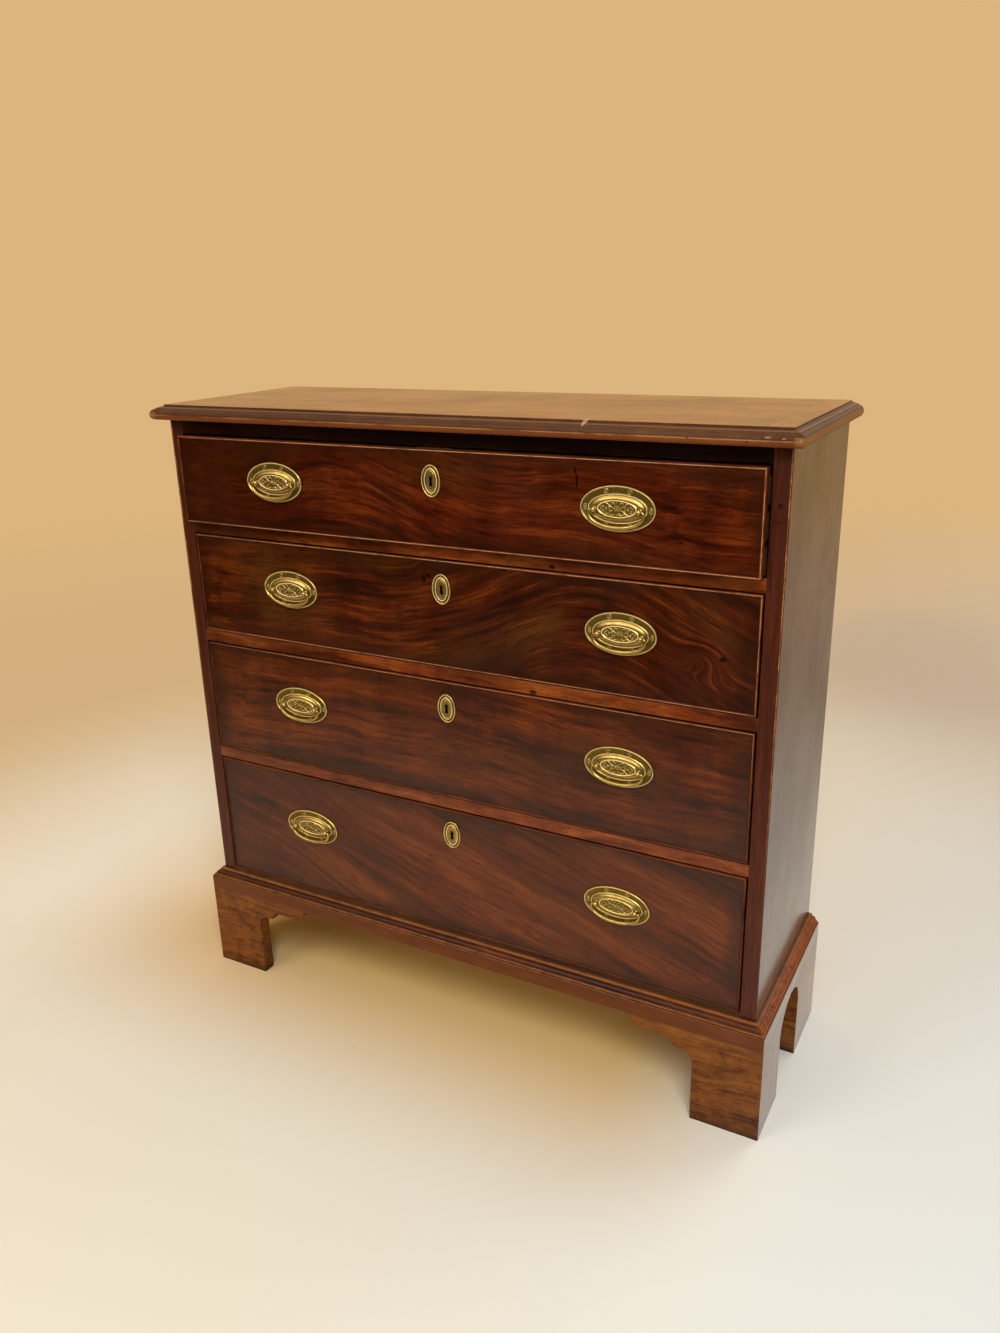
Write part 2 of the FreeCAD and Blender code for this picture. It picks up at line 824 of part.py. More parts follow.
def bead_strip(name, length):
    """A strip of bead with its nose rounded, centred on its length, and then mitred at both ends."""
    bead = dim("bead_width")
    nose = -dim("bead_projection")
    round_off = bead / 2
    section = [
        (dim("bead_depth"), 0),
        (dim("bead_depth"), bead),
        (nose + round_off, bead),
        Arc(round_off, left=True),
        (nose, round_off),
        Arc(round_off, left=True),
        (nose + round_off, 0),
    ]
    half = length / 2
    mitred = [(-half, 0), (half, 0), (half - bead, bead), (bead - half, bead)]
    thickness = (dim("bead_depth") + dim("bead_projection")) * 2
    strip = padded_body(name, "YZ_Plane", section, length, midplane=True)
    return common(name, strip, padded_body(name, "XZ_Plane", mitred, thickness, midplane=True))


def make_beads(n):
    """Four thin beads let into the edges of the front and standing proud of it, mitred where they meet."""
    name = f"bead_{n}"
    height = drawer_height[n]
    beads = []
    for length, turn, x, z in (
        (drawer_half * 2, 0, 0, 0),
        (drawer_half * 2, 180, 0, height),
        (height, 90, -drawer_half, height / 2),
        (height, -90, drawer_half, height / 2),
    ):
        strip = bead_strip(name, length)
        strip.Placement.Rotation = Rotation(BACKWARDS, turn)
        beads.append(place(strip, x=x, z=z))
    drawer_subpart(f"drawer_{n}_cock_beads", group(name, *beads), n)


def drawer_subpart(label, feature, n, x=0, y=0, z=0):
    """Moves a piece from its place in the drawer's own frame to its place in the chest."""
    drawer_front = front_y - dim("drawer_1_ajar") if n == 1 else front_y
    subpart(label, feature, x, drawer_front + y, floor_of_opening[n] + dim("drawer_bottom_gap") + z)


# Brasses
def raised_oval(name, length, height, back, rise):
    """A low oval boss whose side slopes in as much as it rises."""
    foot = ellipse(name, length, height, back)
    crown = ellipse(name, length - rise, height - rise, back - rise)
    return loft(name, [foot, crown])


def rimmed_oval(name, length, height, rim, rim_rise):
    """A flat oval plate whose edge is raised all round."""
    face = -dim("plate_thickness")
    plate = oval_plate(name, length, height, face - rim_rise, size(0))
    return cut(name, plate, oval_plate(name, length - rim * 2, height - rim * 2, face - rim_rise, face))


def handle_plate(name):
    """A stamped oval with a raised rim, a low dome and a raised oval on that, bored for the posts."""
    rim, rim_rise = dim("plate_rim"), dim("plate_rim_rise")
    face = -dim("plate_thickness")
    plate = rimmed_oval(name, dim("plate_length"), dim("plate_height"), rim, rim_rise)
    dome = raised_oval(name, dim("dome_length"), dim("dome_height"), face, dim("dome_rise"))
    oval_front = dome_front - dim("oval_rise")
    oval = oval_plate(name, dim("oval_length"), dim("oval_height"), oval_front, dome_front)
    radius = dim("shank_radius") + dim("fixing_clearance")
    holes = []
    for post in (-1, 1):
        start = (dim("post_spacing") * (post / 2), dome_front, -dim("post_drop"))
        holes.append(rod(name, radius, start, -dome_front, BACKWARDS))
    return cut(name, fuse(name, plate, dome, oval), *holes)


def make_plates(n):
    name = f"plate_{n}"
    plates = [place(handle_plate(name), x=dim("handle_offset") * side) for side in (-1, 1)]
    drawer_subpart(f"drawer_{n}_handle_plates", group(name, *plates), n, z=handle_level[n])


def handle_post(name, x):
    """A post: a head bored across for the bail, the shank through the front and a square nut behind it."""
    stand, thick = -dim("post_head_stand"), dim("front_thickness")
    radius, reach = dim("post_head_radius"), dim("nut_width") / 2
    tip = stand - radius
    nut_back = thick + dim("nut_thickness")
    head = faceted_rod(name, POST_SIDES, radius, (x, tip, 0), dim("post_head_length"), BACKWARDS)
    shank_length = nut_back + dim("post_tail") - stand
    shank = faceted_rod(name, POST_SIDES, dim("shank_radius"), (x, stand, 0), shank_length, BACKWARDS)
    nut = box(name, (x - reach, x + reach), (thick, nut_back), (-reach, reach))
    eye_radius = dim("bail_pin_radius") + dim("pin_clearance")
    eye = rod(name, eye_radius, (x - radius, stand, 0), radius * 2, RIGHT)
    return cut(name, fuse(name, head, shank, nut), eye)


def make_posts(n):
    name = f"post_{n}"
    posts = [handle_post(name, x) for x in post_places()]
    drawer_subpart(f"drawer_{n}_handle_posts", group(name, *posts), n, z=post_level[n])


def bent_wire(name, bend_radius, turn, symmetric):
    """Wire bent round the Y axis, down from its right side or to both sides of its lowest point."""
    section = doc.addObject("Part::RegularPolygon", unique(name))
    section.Polygon = WIRE_SIDES
    bind(section, Circumradius=dim("bail_radius"))
    if symmetric:
        section.Placement.Rotation = Rotation(BACKWARDS, 90)
        place(section, z=-bend_radius)
    else:
        place(section, x=bend_radius)
    bend = doc.addObject("Part::Revolution", unique(name))
    bend.Source = section
    bend.Axis = BACKWARDS
    bend.Solid = True
    bend.Symmetric = symmetric
    return bind(bend, Angle=turn)


def make_bail(n, label, side):
    """A hanging handle: a flat arch of three arcs between short arms, each with a pin into its post."""
    name = f"bail_{n}"
    radius, gap, arm = dim("bail_radius"), dim("bail_side_gap"), dim("bail_arm")
    drop, turn = dim("bail_drop"), dim("bail_corner_turn")
    span = dim("post_spacing") / 2 + dim("post_head_radius") + gap + radius
    flatness = (1 - sine(turn)) / cosine(turn)
    corner = (drop - arm - span * flatness) / (1 - flatness)
    sweep = corner + (span - corner) / cosine(turn)
    pin_length = radius + gap + dim("post_head_radius") * 2
    right = [
        place(bent_wire(name, corner, turn, False), x=span - corner, z=-arm),
        faceted_rod(name, WIRE_SIDES, radius, (span, 0, -arm), arm + radius, UP),
        rod(name, dim("bail_pin_radius"), (span, 0, 0), pin_length, -RIGHT),
    ]
    half = fuse(name, *right)
    middle = place(bent_wire(name, sweep, 180 - turn * 2, True), z=sweep - drop)
    place_in_drawer = {"x": dim("handle_offset") * side, "y": -dim("post_head_stand"), "z": post_level[n]}
    bail = fuse(name, half, middle, mirrored(name, half))
    drawer_subpart(f"drawer_{n}_bail_{label}", bail, n, **place_in_drawer)


def make_escutcheon(n):
    """A small upright oval with the keyhole through it."""
    name = f"escutcheon_{n}"
    front = -dim("escutcheon_thickness")
    oval = oval_plate(name, dim("escutcheon_width"), dim("escutcheon_height"), front, size(0))
    hole = keyhole(name, n, front, size(0))
    drawer_subpart(f"drawer_{n}_escutcheon", cut(name, place(oval, z=lock_level[n]), hole), n)


def make_lock(n):
    """A lock let into the back of the front: its case, the slot that the bolt rises in, and the key pin."""
    name = f"lock_{n}"
    height = drawer_height[n]
    back = dim("front_thickness")
    gap = dim("bolt_clearance")
    reach = dim("bolt_width") / 2
    low = height - dim("bolt_length")
    slot = box(name, (-reach - gap, reach + gap), (bolt_front - gap, bolt_back + gap), (low - gap, height))
    well = keyhole(name, n, lock_front, back - dim("lock_wall"))
    pin = rod(name, dim("key_pin_radius"), (0, lock_front, lock_level[n]), back - lock_front, BACKWARDS)
    case = cut(name, lock_box(name, n, size(0)), slot, well)
    drawer_subpart(f"drawer_{n}_lock", fuse(name, case, pin), n)
    bolt = box(name, (-reach, reach), (bolt_front, bolt_back), (low, height))
    drawer_subpart(f"drawer_{n}_lock_bolt", group(name, bolt), n)


# Build and write
make_top()
make_side("side_right", mirror=False)
make_side("side_left", mirror=True)
make_back()
make_bottom()
make_rails()
make_dustboards()
make_runners()
make_stops()
make_base_moulding()
make_feet()
make_blocks()
for n in (1, 2, 3, 4):
    make_front(n)
    make_beads(n)
    make_linings(n)
    make_plates(n)
    make_posts(n)
    make_bail(n, "left", -1)
    make_bail(n, "right", 1)
    make_escutcheon(n)
    make_lock(n)
doc.recompute()

for feature in doc.Objects:
    if "Invalid" in feature.State or "Error" in feature.State:
        raise RuntimeError(f"{feature.Label} failed: {feature.State}")
for feature in subparts:
    if feature.Shape.isNull() or not feature.Shape.isValid():
        raise RuntimeError(f"{feature.Label} has no valid shape")

os.makedirs("parts", exist_ok=True)
for feature in subparts:
    feature.Shape.exportStep(f"parts/{feature.Label}.step")
print(f"{len(subparts)} sub-parts, {sum(len(f.Shape.Solids) for f in subparts)} solids")
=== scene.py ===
import json
from functools import reduce
from math import cos, pi, radians, sin

import bpy
from mathutils import Matrix, Vector


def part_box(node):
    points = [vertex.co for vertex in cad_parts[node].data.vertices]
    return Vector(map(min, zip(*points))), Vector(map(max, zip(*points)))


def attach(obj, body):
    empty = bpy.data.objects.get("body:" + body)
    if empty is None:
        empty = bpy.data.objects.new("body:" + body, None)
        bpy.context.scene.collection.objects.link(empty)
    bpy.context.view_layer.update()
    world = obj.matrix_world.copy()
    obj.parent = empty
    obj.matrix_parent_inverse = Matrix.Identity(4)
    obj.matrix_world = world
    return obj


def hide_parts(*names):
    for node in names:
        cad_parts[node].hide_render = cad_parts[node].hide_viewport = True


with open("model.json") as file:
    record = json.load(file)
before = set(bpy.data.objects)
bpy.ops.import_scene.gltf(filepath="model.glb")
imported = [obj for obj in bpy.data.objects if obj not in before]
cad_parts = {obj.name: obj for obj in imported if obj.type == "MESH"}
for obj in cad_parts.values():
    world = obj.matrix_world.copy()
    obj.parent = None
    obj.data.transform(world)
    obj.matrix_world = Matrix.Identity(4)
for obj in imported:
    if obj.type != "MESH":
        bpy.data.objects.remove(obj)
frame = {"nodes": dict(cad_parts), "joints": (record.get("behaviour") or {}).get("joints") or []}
bpy.ops.object.select_all(action="DESELECT")
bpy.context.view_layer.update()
nodes = frame["nodes"]
joints = {joint["name"]: joint for joint in frame["joints"]}
drawers = (1, 2, 3, 4)
mm = 0.001

# Camera
camera = {
    "place": (0.67553, -1.20202, 1.00419), "yaw": 28.907, "pitch": -19.496, "roll": -1.471,
    "lens": 38.406, "sensor": 36,
}


def makeCamera():
    yaw, pitch, roll = (radians(camera[key]) for key in ("yaw", "pitch", "roll"))
    ahead = Vector((-sin(yaw) * cos(pitch), cos(yaw) * cos(pitch), sin(pitch)))
    level = Vector((cos(yaw), sin(yaw), 0))
    upright = level.cross(ahead)
    right = level * cos(roll) + upright * sin(roll)
    up = upright * cos(roll) - level * sin(roll)
    bpy.ops.object.camera_add()
    eye = bpy.context.object
    eye.name = "photoCamera"
    turn = Matrix((right, up, -ahead)).transposed()
    eye.matrix_world = Matrix.Translation(camera["place"]) @ turn.to_4x4()
    eye.data.sensor_fit = "HORIZONTAL"
    eye.data.sensor_width = camera["sensor"]
    eye.data.lens = camera["lens"]
    bpy.context.scene.camera = eye


makeCamera()
print("camera set")


# Shader helpers: they add nodes to the tree that was opened last
def openTree(opened):
    global tree
    tree = opened


def setInputs(node, inputs):
    for key, value in inputs.items():
        if isinstance(value, bpy.types.NodeSocket):
            tree.links.new(value, node.inputs[key])
        else:
            node.inputs[key].default_value = value


def addNode(kind, inputs=None, **settings):
    made = tree.nodes.new("ShaderNode" + kind)
    for name, value in settings.items():
        setattr(made, name, value)
    setInputs(made, inputs or {})
    return made


def axesOf(vector):
    return addNode("SeparateXYZ", {"Vector": vector}).outputs


def maths(operation, first, second=0.5, clamp=False):
    inputs = {0: first, 1: second}
    return addNode("Math", inputs, operation=operation, use_clamp=clamp).outputs[0]


def times(*values):
    return reduce(lambda one, other: maths("MULTIPLY", one, other), values)


def plus(*values):
    return reduce(lambda one, other: maths("ADD", one, other), values)


def minus(first, second):
    return maths("SUBTRACT", first, second)


def vectorMaths(operation, first, second=(0, 0, 0), socket=1, output="Vector"):
    inputs = {0: first, socket: second}
    return addNode("VectorMath", inputs, operation=operation).outputs[output]


def ranged(value, low, high, toLow=0.0, toHigh=1.0):
    inputs = {"Value": value, "From Min": low, "From Max": high, "To Min": toLow, "To Max": toHigh}
    return addNode("MapRange", inputs, interpolation_type="SMOOTHSTEP").outputs["Result"]


def between(value, low, high, soft=0.0003):
    return times(ranged(value, low - soft, low + soft), ranged(value, high + soft, high - soft))


def mixColour(factor, first, second):
    return addNode("Mix", {0: factor, 6: first, 7: second}, data_type="RGBA").outputs[2]


# Lays a shade over what is shown, by the product of the amounts
def cover(shown, shade, *amounts):
    return mixColour(times(*amounts), shown, shade)


def noise(vector, scale, detail=2.0, roughness=0.5, output="Fac"):
    inputs = {"Vector": vector, "Scale": scale, "Detail": detail, "Roughness": roughness}
    return addNode("TexNoise", inputs).outputs[output]


# Patches of noise: grain is (scale, detail, roughness), span is what ranged takes
def patches(vector, grain, span):
    return ranged(noise(vector, *grain), *span)


def stretched(vector, scale=(1, 1, 1), turn=(0, 0, 0), shift=(0, 0, 0)):
    inputs = {"Vector": vector, "Scale": scale, "Rotation": turn, "Location": shift}
    return addNode("Mapping", inputs).outputs[0]


# How far a place lies from the middle of an oval, squared; the oval is (middle, middle, reach, reach)
def spreadFrom(first, second, oval):
    squares = []
    for value, middle, reach in zip((first, second), oval[:2], oval[2:]):
        offset = maths("DIVIDE", minus(value, middle), reach)
        squares.append(times(offset, offset))
    return plus(*squares)


# Spots in the X-Z plane, each (x, z, reach across, reach up)
spotSpan = (1.6, 0.5, 0.0, 0.85)


def addSpots(x, z, shown, spots, shade):
    for spot in spots:
        shown = cover(shown, shade, ranged(spreadFrom(x, z, spot), *spotSpan))
    return shown


# Level bands, each (low, high, amount, shade), where keep lets them show
def addBands(z, shown, bands, keep=1.0, soft=0.0003):
    for low, high, amount, shade in bands:
        shown = cover(shown, shade, between(z, low, high, soft), keep, amount)
    return shown


def newGroup(name, sockets, outputs):
    openTree(bpy.data.node_groups.new(name, "ShaderNodeTree"))
    tree.interface.new_socket("Vector", in_out="INPUT", socket_type="NodeSocketVector")
    for key, label in sockets.items():
        kind = "Color" if isinstance(woodDefaults[key], tuple) else "Float"
        socket = tree.interface.new_socket(label, in_out="INPUT", socket_type="NodeSocket" + kind)
        socket.default_value = woodDefaults[key]
    for label, kind in outputs.items():
        tree.interface.new_socket(label, in_out="OUTPUT", socket_type="NodeSocket" + kind)
    return tree.nodes.new("NodeGroupInput").outputs, tree.nodes.new("NodeGroupOutput")


def useGroup(group, sockets, vector, look):
    inputs = {"Vector": vector, **{label: look[key] for key, label in sockets.items()}}
    return addNode("Group", inputs, node_tree=group).outputs


def colour(red, green, blue):
    return tuple((part / 255) ** 2.2 for part in (red, green, blue)) + (1,)


# Woods: what a board has unless its own values say otherwise
woodDefaults = {
    "turn": (0, 0, 0), "shift": (0, 0, 0),
    "dark": colour(42, 14, 3), "middle": colour(82, 30, 4), "light": colour(118, 50, 12),
    "bandScale": 24, "bandStretch": 0.15, "contrast": 2.8, "bias": 0.5, "wander": 0.05,
    "streaks": 0.6, "pores": 0.45, "nicks": 0.35, "ribbon": 0.8, "tint": colour(74, 42, 12), "tintAmount": 0.5,
    "edge": 0.6, "edgeColour": colour(146, 88, 46), "patchy": 0.5, "softEdge": 0.0012,
    "grimeAndShade": 0.85, "grimeAndShadeColour": colour(14, 6, 2), "grimeAndShadeReach": 0.01,
    "roughness": (0.26, 0.36), "smears": (9.0, 3.0, 0.6), "smearSpan": (0.3, 0.7), "dullness": 0.25,
    "specular": 0.2, "coat": 0.25, "coatRoughness": 0.14,
    "bump": 0.12, "bumpDepth": 0.0004, "waves": 26.0, "waveHeight": 1.5,
    "shine": {},  # what the polish is multiplied by, out from the middle and up from the floor
}
grainSockets = {  # inputs of a group, by the values that they take
    "dark": "Dark", "middle": "Middle", "light": "Light", "bandScale": "Band Scale", "bandStretch": "Band Stretch",
    "contrast": "Contrast", "bias": "Bias", "wander": "Wander", "streaks": "Streaks", "pores": "Pores",
    "nicks": "Nicks", "ribbon": "Ribbon", "tint": "Tint", "tintAmount": "Tint Amount",
}
grainLayers = {  # waves to a metre on each axis, then detail and roughness
    "streaks": ((6, 120, 120), 4.0, 0.65),
    "ribbon": ((26, 5, 5), 2.0, 0.6),
    "clouds": ((5, 9, 9), 2.0, 0.5),
    "fibres": ((22, 420, 420), 4.0, 0.7),
    "pores": ((110, 900, 900), 1.0, 0.5),
}
grainLook = {
    "drift": 5.0, "bandNoise": (5.0, 0.6), "streakWeight": 2.6, "middleSpan": (0.0, 0.55), "lightSpan": (0.45, 1.0),
    "cloudShift": (7, 0, 3), "cloudSpan": (0.45, 0.7), "fibreSpan": (0.46, 0.64), "fibreDepth": 0.75,
    "poreSpan": (0.58, 0.68), "poreDepth": 0.85, "poreColour": (0.003, 0.0015, 0.001, 1),
    "nickScale": 42.0, "nickSpan": (0.075, 0.02), "nickShare": (0.72, 0.8), "nickColour": (0.004, 0.002, 0.001, 1),
    "nickHeight": 0.7, "streakHeight": 0.3,
}


# Bands of figure, streaks, fibres, pores and a few nicks, all lying along X of the given vector
def makeGrainGroup():
    given, result = newGroup("woodGrain", grainSockets, {"Colour": "Color", "Height": "Float"})
    look = grainLook

    def layer(name, vector, shift=(0, 0, 0)):
        scale, detail, roughness = grainLayers[name]
        return noise(stretched(vector, scale, shift=shift), 1.0, detail, roughness)

    def swing(value, middle, weight):
        return times(minus(value, middle), weight)

    drift = noise(given["Vector"], look["drift"], output="Color")
    centred = vectorMaths("SUBTRACT", drift, (0.5, 0.5, 0.5))
    moved = vectorMaths("ADD", given["Vector"], vectorMaths("SCALE", centred, given["Wander"], "Scale"))
    squeeze = addNode("CombineXYZ", {"X": given["Band Stretch"], "Y": 1.0, "Z": 1.0}).outputs[0]
    long = vectorMaths("MULTIPLY", moved, squeeze)
    bands = noise(long, given["Band Scale"], *look["bandNoise"])
    shade = swing(bands, given["Bias"], given["Contrast"])
    streaks = swing(layer("streaks", moved), 0.5, given["Streaks"])
    shade = plus(shade, times(streaks, look["streakWeight"]))
    ribbon = swing(layer("ribbon", given["Vector"]), 0.5, given["Ribbon"])
    shade = maths("ADD", maths("ADD", shade, ribbon), 0.5, clamp=True)
    ramp = mixColour(ranged(shade, *look["middleSpan"]), given["Dark"], given["Middle"])
    ramp = mixColour(ranged(shade, *look["lightSpan"]), ramp, given["Light"])
    clouds = ranged(layer("clouds", given["Vector"], look["cloudShift"]), *look["cloudSpan"])
    ramp = cover(ramp, given["Tint"], clouds, given["Tint Amount"])
    fibres = ranged(layer("fibres", moved), *look["fibreSpan"])
    fibres = maths("MULTIPLY", fibres, given["Streaks"], clamp=True)
    ramp = mixColour(fibres, ramp, mixColour(look["fibreDepth"], ramp, given["Dark"]))
    pores = times(ranged(layer("pores", moved), *look["poreSpan"]), given["Pores"])
    ramp = mixColour(pores, ramp, mixColour(look["poreDepth"], ramp, look["poreColour"]))
    cells = addNode("TexVoronoi", {"Vector": given["Vector"], "Scale": look["nickScale"]}).outputs
    chance = addNode("SeparateColor", {0: cells["Color"]}).outputs[0]
    near = ranged(cells["Distance"], *look["nickSpan"])
    nicks = times(near, ranged(chance, *look["nickShare"]), given["Nicks"])
    ramp = mixColour(nicks, ramp, look["nickColour"])
    sunk = plus(pores, times(nicks, look["nickHeight"]))
    height = minus(times(streaks, look["streakHeight"]), sunk)
    setInputs(result, {"Colour": ramp, "Height": height})
    return tree


wearSockets = {"softEdge": "Reach", "grimeAndShadeReach": "Grime And Shade Reach", "patchy": "Patchy"}
wearLook = {
    "samples": 6, "edgeSpan": (0.985, 0.8), "patches": (38.0, 4.0, 0.6), "top": 0.75, "grimeAndShadeSpan": (0.95, 0.35),
}


# Where edges stand proud and where corners are deep; the depth darkens wood as grime and painted shade, and brass as
# patina
def makeWearGroup():
    given, result = newGroup("edgeWear", wearSockets, {"Edge": "Float", "Grime And Shade": "Float", "Soft Normal": "Vector"})
    look = wearLook
    rounded = addNode("Bevel", {"Radius": given["Reach"]}, samples=look["samples"]).outputs[0]
    flat = addNode("NewGeometry").outputs["Normal"]
    edge = ranged(vectorMaths("DOT_PRODUCT", rounded, flat, output="Value"), *look["edgeSpan"])
    keep = patches(given["Vector"], look["patches"], (times(given["Patchy"], look["top"]), look["top"]))
    nearby = addNode("AmbientOcclusion", {"Distance": given["Grime And Shade Reach"]}, samples=look["samples"]).outputs["AO"]
    grimeAndShade = ranged(nearby, *look["grimeAndShadeSpan"])
    setInputs(result, {"Edge": times(edge, keep), "Grime And Shade": grimeAndShade, "Soft Normal": rounded})
    return tree


grainGroup = makeGrainGroup()
wearGroup = makeWearGroup()


def startMaterial(name):
    material = bpy.data.materials.new(name)
    material.use_nodes = True
    openTree(material.node_tree)
    tree.nodes.clear()
    shader = addNode("BsdfPrincipled")
    output = addNode("OutputMaterial", {0: shader.outputs[0]})
    return material, shader, output, addNode("TexCoord").outputs["Object"]


def addBump(height, wear, look):
    inputs = {"Height": height, "Strength": look["bump"], "Distance": look["bumpDepth"]}
    return addNode("Bump", {**inputs, "Normal": wear["Soft Normal"]}).outputs[0]


# A figure bends the grain, and marks are painted over it
def woodMaterial(name, figure=None, marks=None, **changes):
    look = {**woodDefaults, **changes}
    material, shader, output, place = startMaterial(name)
    along = figure(place, look) if figure else stretched(place, turn=look["turn"], shift=look["shift"])
    grain = useGroup(grainGroup, grainSockets, along, look)
    wear = useGroup(wearGroup, wearSockets, place, look)
    shown = marks(place, look, grain["Colour"]) if marks else grain["Colour"]
    # Grime and painted shade: the wood darkens where corners and gaps are deep
    shown = cover(shown, look["grimeAndShadeColour"], wear["Grime And Shade"], look["grimeAndShade"])
    shown = cover(shown, look["edgeColour"], wear["Edge"], look["edge"])
    rough = patches(place, look["smears"], look["smearSpan"] + look["roughness"])
    polish = times(minus(1.0, wear["Edge"]), look["coat"])
    if look["shine"]:
        x, y, z = axesOf(place)
        ways = {"up": z, "out": maths("ABSOLUTE", x)}
        shine = times(*[ranged(ways[way], *span) for way, span in look["shine"].items()])
        polish = times(polish, shine)
        dull = maths("SUBTRACT", 1.0, shine, clamp=True)
        rough = plus(rough, times(dull, look["dullness"]))
    waves = times(noise(place, look["waves"]), look["waveHeight"])
    setInputs(shader, {
        "Base Color": shown, "Roughness": rough, "Specular IOR Level": look["specular"],
        "Coat Weight": polish, "Coat Roughness": look["coatRoughness"],
        "Normal": addBump(plus(grain["Height"], waves), wear, look),
    })
    return material


def setMaterial(material, *names):
    for name in names:
        slots = nodes[name].data.materials
        slots.clear()
        slots.append(material)


uprightTurn = (0, radians(90), 0)
acrossTurn = (0, 0, radians(90))

# Drawer fronts: the grain climbs over humps and round knots, each (x, z, height, reach across, reach up)
frontFigures = {
    1: {
        "tilt": 4, "shift": (0.3, 0.0, 0.7),
        "humps": [(-0.13, 0.77, 0.035, 0.12, 1.0), (-0.31, 0.8, -0.02, 0.05, 0.05)],
        "middle": colour(76, 28, 5), "light": colour(104, 45, 12), "wander": 0.035, "bandScale": 32,
        "ribbon": 0.7, "bandStretch": 0.14, "contrast": 1.6, "streaks": 0.85, "bias": 0.47, "leftShade": 0.55,
        "spots": [(0.1865, 0.815, 0.0011, 0.005), (0.1885, 0.804, 0.0013, 0.008), (0.31, 0.745, 0.003, 0.0012)],
    },
    2: {
        "tilt": 1, "shift": (1.92, 0.0, 0.2),
        "humps": [
            (0.2, 0.62, 0.1, 0.17, 1.0), (0.335, 0.612, 0.03, 0.022, 0.018), (-0.02, 0.685, 0.012, 0.012, 0.01),
        ],
        "dark": colour(40, 17, 4), "middle": colour(68, 27, 4), "light": colour(100, 46, 11), "wander": 0.03,
        "bandScale": 18, "streaks": 0.9, "contrast": 2.4, "leftShade": 0.15,
        "spots": [(-0.0253, 0.6673, 0.0034, 0.0045), (-0.018, 0.6725, 0.003, 0.0022), (0.3578, 0.6162, 0.004, 0.003)],
        "tintAmount": 0.75, "tint": colour(82, 50, 16),
    },
    3: {
        "tilt": 2, "shift": (3.1, 0.0, 0.4), "humps": [(-0.05, 0.45, 0.015, 0.2, 1.0)],
        "middle": colour(80, 35, 7), "light": colour(106, 50, 15), "wander": 0.04,
        "streaks": 0.7, "contrast": 2.2, "leftShade": 0.0, "spots": [(0.21, 0.5, 0.0015, 0.0015)],
    },
    4: {
        "tilt": 17, "shift": (4.7, 0.0, 0.9), "humps": [(-0.28, 0.3, 0.02, 0.08, 1.0)],
        "dark": colour(46, 21, 7), "middle": colour(86, 38, 10), "light": colour(112, 57, 22), "wander": 0.035,
        "bandScale": 22, "ribbon": 0.3, "contrast": 2.1, "bandStretch": 0.1, "pores": 0.3, "leftShade": 0.25,
        "spots": [(0.12, 0.3, 0.0012, 0.0012), (-0.05, 0.22, 0.0014, 0.0014)],
    },
}


# How far a place lies inside the nearest edge of a front
def insetOf(x, z, box):
    low, high = box
    inX = minus(high.x, maths("ABSOLUTE", x))
    below, above = minus(z, low.z), minus(high.z, z)
    return maths("MINIMUM", inX, maths("MINIMUM", below, above))


# All fronts are darker towards the left end and grimy round the rim
frontDirt = {
    "left": (0.0, -0.34), "leftColour": colour(36, 12, 3), "drift": (14.0, 3.0), "driftReach": 0.05,
    "rim": (0.006, -0.024, 0.0, 0.6), "rimColour": colour(44, 22, 7), "spotColour": colour(12, 4, 2),
    "swell": 2.718,  # the humps fall off like a bell
}


def frontMarks(place, look, shown):
    x, y, z = axesOf(place)
    shown = cover(shown, look["leftColour"], ranged(x, *look["left"], 0.0, look["leftShade"]))
    drift = times(noise(place, *look["drift"]), look["driftReach"])
    inset = minus(insetOf(x, z, look["box"]), drift)
    shown = cover(shown, look["rimColour"], ranged(inset, *look["rim"]))
    return addSpots(x, z, shown, look["spots"], look["spotColour"])


def frontFigure(place, look):
    x, y, z = axesOf(place)
    level = z
    for humpX, humpZ, height, across, up in look["humps"]:
        fall = times(spreadFrom(x, z, (humpX, humpZ, across, up)), -1.0)
        level = minus(level, times(maths("POWER", look["swell"], fall), height))
    bent = addNode("CombineXYZ", {"X": x, "Y": y, "Z": level}).outputs[0]
    return stretched(bent, turn=(0, radians(-look["tilt"]), 0), shift=look["shift"])


# The crests of the beads carry a thin pale line of rubbed wear and painted highlight, least at the left ends and low
# down
beadLook = {
    "dark": colour(52, 20, 7), "middle": colour(84, 36, 14), "light": colour(108, 52, 24), "tintAmount": 0.0,
    "nicks": 0.0, "edge": 0.1, "softEdge": 0.001, "patchy": 0.35, "grimeAndShade": 0.6, "grimeAndShadeReach": 0.004,
    "specular": 0.15, "coat": 0.0, "roughness": (0.5, 0.6),
    "crest": (0.0011, 0.0019), "crestWearAndHighlight": colour(214, 150, 98),
    "patches": ((50.0, 4.0, 0.7), (0.3, 0.55, 0.3, 1.0)),
    "across": (-0.394, -0.2, 0.4, 0.95), "up": (0.36, 0.66, 0.12, 1.0), "leftBead": (-0.3955, -0.3945, 0.1, 1.0),
}


def beadMarks(place, look, shown):
    x, y, z = axesOf(place)
    crest = between(insetOf(x, z, look["box"]), *look["crest"])
    keep = times(*[ranged(value, *look[key]) for value, key in ((x, "across"), (z, "up"), (x, "leftBead"))])
    # Painted highlight, partly rubbed wear: a pale line along the crests
    return cover(shown, look["crestWearAndHighlight"], crest, times(patches(place, *look["patches"]), keep))


for n in drawers:
    frontLook = {**frontDirt, **frontFigures[n], "box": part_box(f"drawer_{n}_front")}
    setMaterial(woodMaterial(f"frontMahogany{n}", frontFigure, frontMarks, **frontLook), f"drawer_{n}_front")
    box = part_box(f"drawer_{n}_cock_beads")
    beadWood = woodMaterial(f"beadMahogany{n}", None, beadMarks, shift=(n, 0, 0), box=box, **beadLook)
    setMaterial(beadWood, f"drawer_{n}_cock_beads")
